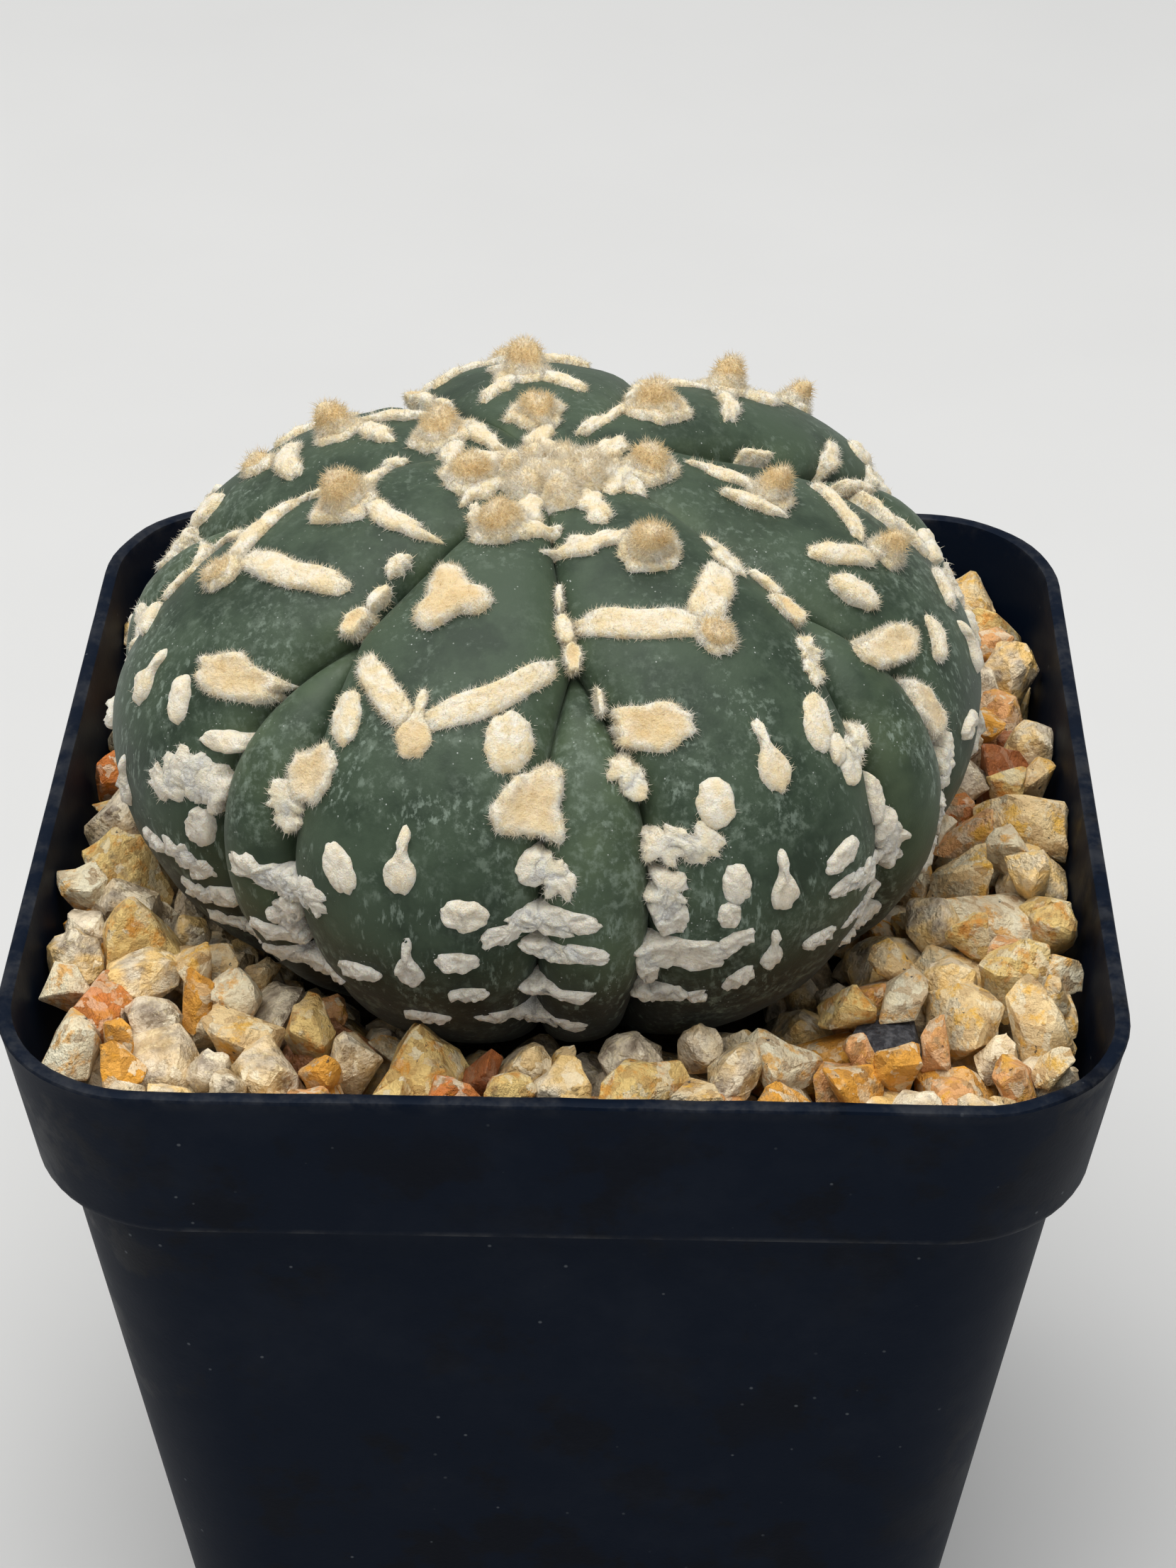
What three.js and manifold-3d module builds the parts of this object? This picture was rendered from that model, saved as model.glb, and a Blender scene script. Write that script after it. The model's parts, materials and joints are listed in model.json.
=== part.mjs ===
// A fukuryu star cactus in a small square black pot, with grit on top of the soil.
// Millimetres, +Z up. The origin is the middle of the pot's underside, and the plant's front faces -Y.
import * as THREE from 'three';
import { mergeVertices } from 'three/addons/utils/BufferGeometryUtils.js';
import Module from 'manifold-3d';

const wasm = await Module();
wasm.setup();

// Driving dimensions of the pot. A half is half the width across the flats.
const potHeight = 70;
const rimHalf = 35;
const rimCorner = 10;
const collarHeight = 12;
const collarFootHalf = 33.55;
const bodyTopHalf = 32.1;
const floorHalf = 25;
const floorCorner = 7.5;
const wall = 1;
const floorThickness = 1.6;
const drainRadius = 3.5;
const drainOffset = 15;

// Levels inside the pot.
const clearance = 0.35;
const soilTop = potHeight - collarHeight - 0.6;
const bedTop = potHeight - 4.6;
const stoneLevel = potHeight - 4.9;

// The plant is a spherical form round a point inside it.
const plant = {
  x: -1.2,
  z: potHeight + 7.6,
  radius: 29.3,
  rise: 17.2,
  drop: 21,
  roundTop: 2.05,
  roundFoot: 2.05,
};
const crownDip = { share: 0.08, width: 16 };
const grooveDepth = 3.6;
const ribRoundness = 2.3;
const lastPolar = 158;
const root = [[7, 56], [6.4, 49], [4.6, 41], [2.4, 34.5]];

// The seven grooves: azimuth at polar 30, 60 and 90 degrees, where the second rib opens, its half width.
const grooves = [
  { at: [271, 276, 277], opens: 56, spread: 7.2 },
  { at: [328, 327, 327], opens: 55, spread: 7.4 },
  { at: [382, 382, 384], opens: 56, spread: 7.2 },
  { at: [425, 432, 434], opens: 56, spread: 7 },
  { at: [487, 484, 483], opens: 56, spread: 7.2 },
  { at: [535, 538, 537], opens: 56, spread: 7 },
  { at: [596, 590, 589], opens: 57, spread: 6.2 },
];
const mainSteps = 6;
const secondSteps = 3;

const feltHeight = 0.6;
const feltSink = 0.65;
const bridgeDepth = 1.35;

// The seven ribs. Swell is how far one stands out past the plant's outline. Its marks of felt and wool
// give kind, polar angle, turn from the rib's azimuth, length, width, and direction, which is 0 down the
// rib and 90 across it. Angles are in degrees.
const ribs = [
  {
    azimuth: 250,
    swell: 0,
    marks: [
      ['tuft', 28, 0, 3.4, 3.2, 0], ['bar', 28, 14, 3.6, 1.5, 105], ['bar', 27, -12, 3, 1.3, 60],
      ['heart', 46, -2, 4.4, 4.6, 0], ['bar', 62, -7, 5.9, 1.9, 60], ['bar', 60, 12, 8.4, 1.9, 122],
      ['drop', 65, 1, 4.2, 2.1, 5], ['oval', 67, -11, 3.5, 2.3, 20], ['oval', 66, 15, 3.9, 2.8, 5],
      ['patch', 75, -12, 4.9, 2.6, 60], ['patch', 74, 19, 5.6, 3, 120], ['drop', 81, 3, 4, 2, 0],
      ['oval', 84, -5, 3.2, 2.1, 35], ['oval', 87, 11, 2.8, 2, 80], ['patch', 91, -12, 4.8, 2.1, 95],
      ['drop', 95, 4, 3.9, 1.8, 0], ['oval', 96, 11, 2.6, 1.7, 90], ['oval', 99, -3, 3.1, 1.6, 100],
          ],
  },
  {
    azimuth: 302,
    swell: 0,
    marks: [
      ['tuft', 36, 0, 3.3, 3.1, 0], ['bar', 32, -17, 5.6, 1.6, 95], ['bar', 50, -12, 7.6, 2.2, 75],
      ['bar', 48, 7, 5.2, 2.3, -55], ['stub', 54, 1, 3, 2.3, 0], ['patch', 65, -15, 5.2, 2.6, 85],
      ['drop', 71, 0, 4.5, 2, 0], ['oval', 70, 10, 3.7, 2.3, -30], ['oval', 75, -9, 3.1, 2.2, -10],
      ['patch', 80, -14, 5, 2.2, 85], ['drop', 86, -2, 3.9, 1.8, 0], ['oval', 86, 7, 3, 1.6, 110],
      ['oval', 85, -8, 2.6, 1.8, 0], ['drop', 96, -3, 3.2, 1.6, 0], ['oval', 97, 4, 2.6, 1.4, 95],
          ],
  },
  {
    azimuth: 354,
    swell: -1.2,
    marks: [
      ['tuft', 21, -3, 3.2, 3, 0], ['bar', 17, -22, 4.6, 2, 96], ['tuft', 44, 4, 2.7, 2.5, 0],
      ['bar', 36, 10, 5.6, 1.5, -8], ['bar', 41, -2, 4.4, 1.4, -5], ['tuft', 63, 1, 2.3, 2.1, 0],
      ['bar', 57, -7, 5.2, 1.7, 40], ['oval', 61, -14, 3.5, 2, 13], ['patch', 69, -19, 6.4, 2.4, 74],
      ['patch', 78, -20, 4.4, 2.2, 10], ['bar', 74, 6, 3.4, 1.3, -70], 
      ['drop', 81, 1, 4, 1.9, 0], ['oval', 84, 10, 3, 1.7, 0], 
      ['drop', 95, 1, 3.6, 1.7, 0], 
    ],
  },
  {
    azimuth: 48,
    swell: 0.4,
    marks: [
      ['tuft', 29, -2, 3.4, 3.1, 0], ['bar', 21, 13, 5.4, 1.5, -10], ['tuft', 50, 2, 3, 2.6, 0],
      ['bar', 54, -3, 3.4, 2, 0], ['bar', 43, -9, 4.4, 1.4, 60], ['bar', 44, 12, 4.6, 1.5, 115],
      ['tuft', 66, 1, 2.2, 2, 0], ['bar', 61, -20, 3, 1.5, 60], ['oval', 63, 15, 3.6, 2.2, 10],
      ['oval', 71, -12, 3.4, 2.1, 20], ['patch', 75, 17, 5, 2.4, 115], ['drop', 82, 1, 4, 1.9, 0],
      ['oval', 85, -9, 3, 1.7, 90], ['oval', 87, 9, 2.8, 1.6, 90], ['drop', 96, 1, 3.6, 1.7, 0],
    ],
  },
  {
    azimuth: 100,
    swell: 0,
    marks: [
      ['tuft', 19, 2, 3.2, 3, 0], ['tuft', 40, 0, 3.4, 3, 0], ['bar', 35, 11, 4.8, 1.7, -50],
      ['bar', 35, -11, 4.8, 1.6, 50], ['bar', 44, 5, 3.4, 1.6, 10], ['bar', 58, -8, 5.6, 1.8, 60],
      ['bar', 58, 10, 6.4, 1.8, 118], ['stub', 62, 1, 3, 2.2, 0], ['oval', 69, -11, 3.5, 2.2, 15],
      ['oval', 68, 13, 3.7, 2.4, 5], ['drop', 78, 1, 4.1, 2, 0], ['patch', 78, 17, 5, 2.5, 110],
      ['oval', 86, -8, 3, 1.8, 40], ['drop', 92, 1, 3.7, 1.8, 0], ['oval', 90, 10, 2.7, 1.5, 90],
    ],
  },
  {
    azimuth: 151,
    swell: -0.8,
    marks: [
      ['tuft', 27, 4, 3.6, 3.3, 0], ['bar', 18, 0, 5.2, 1.5, 155], ['bar', 22, 25, 5.4, 1.7, 105],
      ['tuft', 50, 0, 3, 2.7, 0], ['bar', 42, 2, 4.6, 1.7, 150], ['bar', 43, -10, 5.4, 1.4, 20],
      ['bar', 56, 10, 5.2, 1.8, 115], ['stub', 62, 8, 2.6, 2, 0], ['bar', 63, -9, 5, 1.7, 60],
      ['oval', 71, 13, 3.4, 2.2, 10], ['drop', 79, 1, 4, 2, 0], ['oval', 84, -10, 3, 1.8, 30],
      ['patch', 86, 15, 4.8, 2.2, 100], ['drop', 93, 1, 3.6, 1.8, 0], 
    ],
  },
  {
    azimuth: 202,
    swell: 0.3,
    marks: [
      ['tuft', 19, 6, 3.3, 3.1, 0], ['tuft', 41, -3, 3.4, 3.2, 0], ['bar', 37, 13, 6.4, 1.6, 100],
      ['bar', 36, -13, 3.4, 1.3, 60], ['stub', 61, -3, 2.7, 2.3, 0], ['bar', 54, 9, 8.2, 1.9, 112],
      ['drop', 76, 2, 3.9, 1.8, 0], ['oval', 75, 10, 3.1, 1.4, 25], ['oval', 74, -10, 2.8, 1.5, 70],
      ['bar', 69, -13, 3, 1.3, 10], ['patch', 69, 16, 5.6, 3, 100], ['oval', 77, 19, 3, 1.5, 105],
      ['patch', 84, 15, 5.6, 2.6, 105], ['drop', 91, 2, 3.6, 1.7, 0], 
    ],
  },
];

// Felt that lies along and across the creases. The last number is the turn from the groove's line.
const creaseMarks = [
  ['oval', 50, -3, 3, 1.5, 0], ['patch', 82, -6, 4.4, 3, 90], ['patch', 91, -6, 6, 2.8, 92],
  ['patch', 102, -5, 5.4, 2.6, 86], ['patch', 88, 8, 4.8, 2.6, 5],
];
const crownTufts = 7;

// Stones of the grit, and the room that the plant leaves them: little at the foot, more past the felt.
const stonePitch = 5.6;
const stoneRadius = { least: 2.2, more: 0.9 };
const stoneRise = 1.4;
const stonesTo = rimHalf - 3.4;
const stonesFrom = 25.4;
const footRoom = 0.75;
const feltRoom = 1.1;

const radians = THREE.MathUtils.degToRad;
const smooth = (low, high, x) => THREE.MathUtils.smoothstep(x, low, high);

// One fixed draw between 0 and 1 for each number.
function draw(n) {
  const value = Math.sin(n * 12.9898) * 43758.5453;
  return value - Math.floor(value);
}

// Joins rings with the same number of points into one closed surface, lowest ring first.
function loft(rings) {
  const count = rings[0].length;
  const last = rings.length - 1;
  const points = rings.flat();
  const index = [];
  for (let row = 0; row < last; row += 1) {
    for (let i = 0; i < count; i += 1) {
      const next = (i + 1) % count;
      const a = row * count + i;
      const b = row * count + next;
      index.push(a, b, b + count, a, b + count, a + count);
    }
  }
  const foot = points.length;
  points.push(middle(rings[0]), middle(rings[last]));
  for (let i = 0; i < count; i += 1) {
    const next = (i + 1) % count;
    index.push(foot, next, i);
    index.push(foot + 1, last * count + i, last * count + next);
  }
  const geometry = new THREE.BufferGeometry().setFromPoints(points);
  geometry.setIndex(index);
  return geometry;
}

function middle(ring) {
  const sum = new THREE.Vector3();
  ring.forEach((point) => sum.add(point));
  return sum.divideScalar(ring.length);
}

// Turns a closed geometry into a solid. Triangles that have closed up to a line are dropped.
function solid(geometry) {
  geometry.deleteAttribute('normal');
  geometry.deleteAttribute('uv');
  const merged = mergeVertices(geometry, 1e-4);
  const index = [];
  for (let i = 0; i < merged.index.count; i += 3) {
    const [a, b, c] = [0, 1, 2].map((corner) => merged.index.getX(i + corner));
    if (a !== b && b !== c && c !== a) {
      index.push(a, b, c);
    }
  }
  const mesh = new wasm.Mesh({
    numProp: 3,
    vertProperties: new Float32Array(merged.attributes.position.array),
    triVerts: new Uint32Array(index),
  });
  return new wasm.Manifold(mesh);
}

// Keeps the largest piece, so that loose scraps go and sealed hollows fill.
function geometryOf(body) {
  const pieces = body.decompose();
  pieces.sort((a, b) => b.volume() - a.volume());
  const mesh = pieces[0].getMesh();
  const geometry = new THREE.BufferGeometry();
  geometry.setAttribute('position', new THREE.BufferAttribute(mesh.vertProperties, 3));
  geometry.setIndex(new THREE.BufferAttribute(mesh.triVerts, 1));
  geometry.computeVertexNormals();
  return geometry;
}

function named(name, body, color, roughness) {
  const material = new THREE.MeshStandardMaterial({ color, roughness, metalness: 0 });
  const mesh = new THREE.Mesh(geometryOf(body), material);
  mesh.name = name;
  return mesh;
}

// A level square with round corners, anticlockwise from above.
function squareRing(half, corner, z) {
  const arcSteps = 5;
  const points = [];
  for (let side = 0; side < 4; side += 1) {
    const across = side === 0 || side === 3 ? 1 : -1;
    const along = side < 2 ? 1 : -1;
    for (let step = 0; step <= arcSteps; step += 1) {
      const angle = (side + step / arcSteps) * (Math.PI / 2);
      const x = across * (half - corner) + corner * Math.cos(angle);
      const y = along * (half - corner) + corner * Math.sin(angle);
      points.push(new THREE.Vector3(x, y, z));
    }
  }
  return points;
}

// The pot's section at a height: half width and corner radius, outside.
function potSection(z) {
  const collarFoot = potHeight - collarHeight;
  if (z > collarFoot) {
    const share = (z - collarFoot) / collarHeight;
    return [THREE.MathUtils.lerp(collarFootHalf, rimHalf, share), rimCorner];
  }
  const share = z / collarFoot;
  return [
    THREE.MathUtils.lerp(floorHalf, bodyTopHalf, share),
    THREE.MathUtils.lerp(floorCorner, rimCorner - 1, share),
  ];
}

function sectionRing(z, inset) {
  const [half, corner] = potSection(z);
  return squareRing(half - inset, corner - inset, z);
}

function makePot() {
  const collarFoot = potHeight - collarHeight;
  const justAbove = collarFoot + 0.01;
  const shell = solid(loft([
    squareRing(floorHalf, floorCorner, 0),
    sectionRing(collarFoot, 0),
    sectionRing(justAbove, 0),
    sectionRing(potHeight, 0),
    sectionRing(potHeight, wall),
    sectionRing(collarFoot + 0.6, wall),
    sectionRing(collarFoot - 0.6, wall),
    sectionRing(floorThickness, wall),
  ]));
  let pot = shell;
  for (const x of [-drainOffset, drainOffset]) {
    for (const y of [-drainOffset, drainOffset]) {
      const hole = new THREE.CylinderGeometry(drainRadius, drainRadius, 4, 16);
      hole.rotateX(Math.PI / 2);
      hole.translate(x, y, floorThickness / 2);
      pot = pot.subtract(solid(hole));
    }
  }
  return pot;
}

function grooveAzimuth(groove, polar) {
  const t = (THREE.MathUtils.clamp(polar, 15, 105) - 30) / 30;
  const [a, b, c] = groove.at;
  return a + (b - a) * t + (c - 2 * b + a) * t * (t - 1) / 2;
}

// How far a groove's second rib has opened, from 0 to 1.
function opened(groove, polar) {
  const t = THREE.MathUtils.clamp((polar - groove.opens) / 24, 0, 1);
  return 1 - (1 - t) ** 2;
}

function depthAt(polar) {
  return grooveDepth * smooth(4, 62, polar) * (1 - 0.6 * smooth(104, 150, polar));
}

// The round of a rib's section: 1 on its middle line and 0 at the creases.
function bump(u) {
  return (1 - Math.min(Math.abs(u), 1) ** ribRoundness) ** (1 / ribRoundness);
}

// The plant's outline with no ribs: distance from its centre at a polar angle.
function envelope(polar) {
  const across = Math.abs(Math.sin(radians(polar))) / plant.radius;
  const upper = polar < 90;
  const along = Math.abs(Math.cos(radians(polar))) / (upper ? plant.rise : plant.drop);
  const power = upper ? plant.roundTop : plant.roundFoot;
  const full = (across ** power + along ** power) ** (-1 / power);
  return full * (1 - crownDip.share * Math.exp(-((polar / crownDip.width) ** 2)));
}

// The ribs round the plant at one polar angle: where each begins and ends, and how deep it lies.
function ribsAt(polar) {
  const depth = depthAt(polar);
  const creases = grooves.map((groove) => {
    const line = grooveAzimuth(groove, polar);
    const open = opened(groove, polar);
    return { left: line - open * groove.spread, right: line + open * groove.spread, open };
  });
  const spans = [];
  creases.forEach((crease, i) => {
    const next = creases[(i + 1) % creases.length];
    const turn = i === creases.length - 1 ? 360 : 0;
    const rib = ribs[(i + 1) % ribs.length];
    const swell = rib.swell * smooth(crownDip.width, 2.5 * crownDip.width, polar);
    spans.push({ from: crease.left, to: crease.right, sunk: depth * (1 - 0.8 * crease.open), depth });
    spans.push({ from: crease.right, to: next.left + turn, sunk: -swell, depth });
  });
  return spans;
}

function sunkAt(span, u) {
  return span.sunk + (span.depth - span.sunk) * (1 - bump(u));
}

// How deep the surface lies below the outline at any polar angle and azimuth.
function grooveAt(polar, azimuth) {
  for (const span of ribsAt(polar)) {
    const half = (span.to - span.from) / 2;
    const line = span.from + half;
    const away = THREE.MathUtils.euclideanModulo(azimuth - line + 180, 360) - 180;
    if (half > 0.01 && Math.abs(away) <= half) {
      return sunkAt(span, away / half);
    }
  }
  return depthAt(polar);
}

function place(polar, azimuth, distance) {
  const outward = Math.sin(radians(polar)) * distance;
  return new THREE.Vector3(
    plant.x + outward * Math.cos(radians(azimuth)),
    outward * Math.sin(radians(azimuth)),
    plant.z + Math.cos(radians(polar)) * distance,
  );
}

// One row of surface points, with a column on every crease.
function ribRow(polar) {
  const row = [];
  const base = envelope(polar);
  ribsAt(polar).forEach((span, i) => {
    const steps = i % 2 === 0 ? secondSteps : mainSteps;
    const half = (span.to - span.from) / 2;
    for (let step = 0; step < steps; step += 1) {
      const u = Math.sin((step / steps - 0.5) * Math.PI);
      row.push(place(polar, span.from + half * (1 + u), base - sunkAt(span, u)));
    }
  });
  return row;
}

function plantBody() {
  const polars = [lastPolar, 138, 123, 113];
  for (let polar = 105; polar > 64; polar -= 8) {
    polars.push(polar);
  }
  polars.push(61, 57, 50, 41, 32, 23, 14, 6);
  const rows = polars.map(ribRow);
  const lowest = rows[0];
  const rootRows = root.map(([radius, z]) => lowest.map((point) => {
    const angle = Math.atan2(point.y, point.x - plant.x);
    return new THREE.Vector3(plant.x + radius * Math.cos(angle), radius * Math.sin(angle), z);
  }));
  return solid(loft([...rootRows.reverse(), ...rows]));
}

// Outlines of the felt flecks: along the fleck and across it, in half sizes.
const outlines = {
  bar: [[1, 0], [0.7, 1], [-0.7, 1], [-1, 0], [-0.7, -1], [0.7, -1]],
  drop: [[1, 0.5], [0.4, 1], [-0.9, 0.4], [-0.9, -0.4], [0.4, -1], [1, -0.5]],
  heart: [[1, 0], [0.2, 0.8], [-0.7, 1], [-0.5, 0], [-0.7, -1], [0.2, -0.8]],
  oval: [[1, 0.3], [0.1, 1], [-0.95, 0.5], [-0.9, -0.6], [0.25, -1]],
};

// A patch is an oval with its points drawn in or out.
function outline(kind, seed) {
  if (kind === 'patch') {
    return outlines.oval.map(([along, across], i) => {
      const reach = 0.9 + 0.35 * draw(seed + i);
      return [along * reach, across * reach];
    });
  }
  return outlines[kind];
}

// A spot on the plant with the directions down the rib and round the plant, and the way out.
function spot(polar, azimuth) {
  const step = 0.2;
  const at = place(polar, azimuth, envelope(polar));
  const down = place(polar + step, azimuth, envelope(polar + step)).sub(at);
  const round = place(polar, azimuth + step, envelope(polar)).sub(at);
  const out = down.clone().cross(round).normalize();
  return { polar, azimuth, out, perDown: down.length() / step, perRound: round.length() / step };
}

// The point so many millimetres down, round and out from a spot, on the ribbed surface.
function near(middlePoint, down, round, out) {
  const polar = middlePoint.polar + down / middlePoint.perDown;
  const azimuth = middlePoint.azimuth + round / middlePoint.perRound;
  const sunk = Math.min(grooveAt(Math.abs(polar), azimuth), bridgeDepth);
  return place(polar, azimuth, envelope(Math.abs(polar)) - sunk).addScaledVector(middlePoint.out, out);
}

function feltRing(middlePoint, points, scale, [length, width], turn, out) {
  const cos = Math.cos(radians(turn));
  const sin = Math.sin(radians(turn));
  return points.map(([along, across]) => {
    const a = along * scale * length / 2;
    const b = across * scale * width / 2;
    return near(middlePoint, a * cos - b * sin, a * sin + b * cos, out);
  });
}

function fleck(kind, polar, azimuth, size, turn, seed) {
  const middlePoint = spot(polar, azimuth);
  const points = outline(kind, seed);
  return solid(loft([
    feltRing(middlePoint, points, 1.15, size, turn, -feltSink),
    feltRing(middlePoint, points, 0.78, size, turn, feltHeight),
  ]));
}

// A wool tuft stands up from its areole and leans a little to one side.
function tuft(polar, azimuth, size, height, seed) {
  const middlePoint = spot(polar, azimuth);
  const points = outline('oval', seed);
  const lean = draw(seed) * 90;
  const top = size.map((side) => side * (0.9 + 0.2 * draw(seed + 1)));
  return solid(loft([
    feltRing(middlePoint, points, 1.1, size, 0, -feltSink),
    feltRing(middlePoint, points, 1.15, size, lean, height * 0.35),
    feltRing(middlePoint, points, 0.95, top, lean, height * 0.75),
    feltRing(middlePoint, points, 0.4, top, lean, height),
  ]));
}

function raised([kind, polar, offset, length, width, turn], azimuth, seed) {
  if (kind === 'tuft') {
    return tuft(polar, azimuth + offset, [length, width], 1.3 + 0.4 * length, seed);
  }
  if (kind === 'stub') {
    return tuft(polar, azimuth + offset, [length, width], 1.1, seed);
  }
  return fleck(kind, polar, azimuth + offset, [length, width], turn, seed);
}

function makeCactus() {
  let cactus = plantBody();
  let seed = 1;
  const grow = (piece) => {
    cactus = cactus.add(piece);
    seed += 10;
  };
  ribs.forEach((rib) => rib.marks.forEach((mark) => grow(raised(mark, rib.azimuth, seed))));
  grooves.forEach((groove) => creaseMarks.forEach((mark) => {
    const line = grooveAzimuth(groove, mark[1]);
    const turned = line + mark[2] - (mark[1] > groove.opens ? 0 : mark[2]);
    grow(raised([mark[0], mark[1], 0, mark[3], mark[4], mark[5]], turned, seed));
  }));
  for (let i = 0; i < crownTufts; i += 1) {
    const polar = i === 0 ? 3 : 8 + 3 * draw(i + 50);
    const size = 2.2 + draw(i + 70);
    grow(tuft(polar, i * 360 / (crownTufts - 1), [size, size], 1.1 + draw(i + 90), seed));
  }
  return cactus;
}

// The room that the plant needs in the grit and the soil: its outline with no grooves, a little larger.
function plantHole() {
  const profile = [];
  for (let polar = 88; polar <= lastPolar; polar += 7) {
    const room = polar < 110 ? feltRoom : footRoom;
    const distance = envelope(polar) + room;
    const radius = Math.sin(radians(polar)) * distance;
    profile.push(new THREE.Vector2(radius, plant.z + Math.cos(radians(polar)) * distance));
  }
  root.forEach(([radius, z], i) => {
    const below = i === root.length - 1 ? footRoom : 0;
    profile.push(new THREE.Vector2(radius + footRoom, z - below));
  });
  profile.unshift(new THREE.Vector2(0, profile[0].y));
  profile.push(new THREE.Vector2(0, profile[profile.length - 1].y));
  const hole = new THREE.LatheGeometry(profile.reverse(), 32);
  hole.rotateX(Math.PI / 2);
  hole.translate(plant.x, 0, 0);
  return solid(hole);
}

// One stone: a coarse ball pulled out of round, with corners moved a little.
function stone(x, y, seed) {
  const geometry = new THREE.IcosahedronGeometry(1, 0);
  geometry.deleteAttribute('normal');
  geometry.deleteAttribute('uv');
  const ball = mergeVertices(geometry, 1e-4);
  const position = ball.attributes.position;
  for (let i = 0; i < position.count; i += 1) {
    const stretch = 0.86 + 0.3 * draw(seed + i * 3);
    position.setXYZ(i, position.getX(i) * stretch, position.getY(i) * stretch, position.getZ(i) * stretch);
  }
  const size = stoneRadius.least + stoneRadius.more * draw(seed + 40);
  ball.scale(size * 1.15, size, size * 0.9);
  ball.rotateX(draw(seed + 41) * 3);
  ball.rotateZ(draw(seed + 42) * 6);
  ball.translate(x, y, stoneLevel + stoneRise * draw(seed + 43));
  return solid(ball);
}

function makeGravel(hole) {
  const inner = clearance + wall;
  const bedFoot = soilTop + clearance + 0.8;
  const bed = solid(loft([sectionRing(bedFoot, inner + 0.15), sectionRing(bedTop, inner + 0.15)]));
  const room = solid(loft([sectionRing(bedFoot - 1, inner), sectionRing(potHeight, inner)]));
  let gravel = bed;
  const count = Math.ceil(rimHalf / stonePitch) + 1;
  for (let row = -count; row <= count; row += 1) {
    for (let column = -count; column <= count; column += 1) {
      const seed = (row + count) * 97 + (column + count) * 13 + 500;
      const x = (column + (row % 2) / 2 + 0.45 * (draw(seed) - 0.5)) * stonePitch;
      const y = (row * 0.87 + 0.45 * (draw(seed + 1) - 0.5)) * stonePitch;
      const inPot = Math.max(Math.abs(x), Math.abs(y)) < stonesTo;
      const underPlant = Math.hypot(x - plant.x, y) < stonesFrom;
      if (inPot && !underPlant) {
        gravel = gravel.add(stone(x, y, seed));
      }
    }
  }
  return gravel.intersect(room).subtract(hole);
}

function makeSoil(hole) {
  const foot = floorThickness + clearance;
  const inner = wall + clearance;
  return solid(loft([sectionRing(foot, inner), sectionRing(soilTop, inner)])).subtract(hole);
}

const hole = plantHole();
const potted = new THREE.Group();
potted.add(named('pot', makePot(), 0x1b1e24, 0.45));
potted.add(named('soil', makeSoil(hole), 0x3a2a1e, 0.95));
potted.add(named('gravel', makeGravel(hole), 0xc9a56a, 0.8));
potted.add(named('cactus', makeCactus(), 0x3d5743, 0.75));

export default potted;
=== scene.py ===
import json
import math

import bmesh
import bpy
import numpy as np
from mathutils import Matrix, Vector

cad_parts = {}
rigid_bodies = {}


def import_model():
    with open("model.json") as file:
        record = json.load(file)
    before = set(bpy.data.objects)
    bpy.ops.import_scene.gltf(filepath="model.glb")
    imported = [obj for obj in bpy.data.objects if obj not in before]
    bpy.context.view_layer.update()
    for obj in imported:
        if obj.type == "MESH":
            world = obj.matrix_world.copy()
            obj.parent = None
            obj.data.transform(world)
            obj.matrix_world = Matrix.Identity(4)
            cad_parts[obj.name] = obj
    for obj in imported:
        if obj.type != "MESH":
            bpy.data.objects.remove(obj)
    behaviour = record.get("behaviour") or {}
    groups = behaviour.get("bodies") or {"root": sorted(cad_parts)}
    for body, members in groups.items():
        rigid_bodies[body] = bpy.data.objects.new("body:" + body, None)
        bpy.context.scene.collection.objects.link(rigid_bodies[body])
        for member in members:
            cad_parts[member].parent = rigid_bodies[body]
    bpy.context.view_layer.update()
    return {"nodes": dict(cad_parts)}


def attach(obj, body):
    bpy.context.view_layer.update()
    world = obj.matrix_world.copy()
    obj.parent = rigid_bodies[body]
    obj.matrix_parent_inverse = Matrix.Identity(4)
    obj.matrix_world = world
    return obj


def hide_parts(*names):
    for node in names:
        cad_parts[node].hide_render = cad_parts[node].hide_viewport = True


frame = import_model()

mm = 0.001  # the shapes below are worked out in millimetres
print("frame loaded:", ", ".join(sorted(frame["nodes"])))


def connect(tree, value, socket):
    if isinstance(value, Signal):
        tree.links.new(value.socket, socket)
    else:
        socket.default_value = value


class Signal:
    # An output in a node tree. Sums, products and the like add their Math nodes.
    def __init__(self, tree, socket):
        self.tree = tree
        self.socket = socket

    def math(self, operation, *values):
        made = self.tree.nodes.new("ShaderNodeMath")
        made.operation = operation
        for i, value in enumerate(values):
            connect(self.tree, value, made.inputs[i])
        return Signal(self.tree, made.outputs[0])

    def __add__(self, other):
        return self.math("ADD", self, other)

    def __sub__(self, other):
        return self.math("SUBTRACT", self, other)

    def __rsub__(self, other):
        return self.math("SUBTRACT", other, self)

    def __mul__(self, other):
        return self.math("MULTIPLY", self, other)

    __radd__ = __add__
    __rmul__ = __mul__

    def between(self, low, high):
        # 0 below low, 1 above high, and a smooth rise from one to the other
        made = self.tree.nodes.new("ShaderNodeMapRange")
        made.interpolation_type = "SMOOTHSTEP"
        for name, value in {"Value": self, "From Min": low, "From Max": high}.items():
            connect(self.tree, value, made.inputs[name])
        return Signal(self.tree, made.outputs["Result"])


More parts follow.
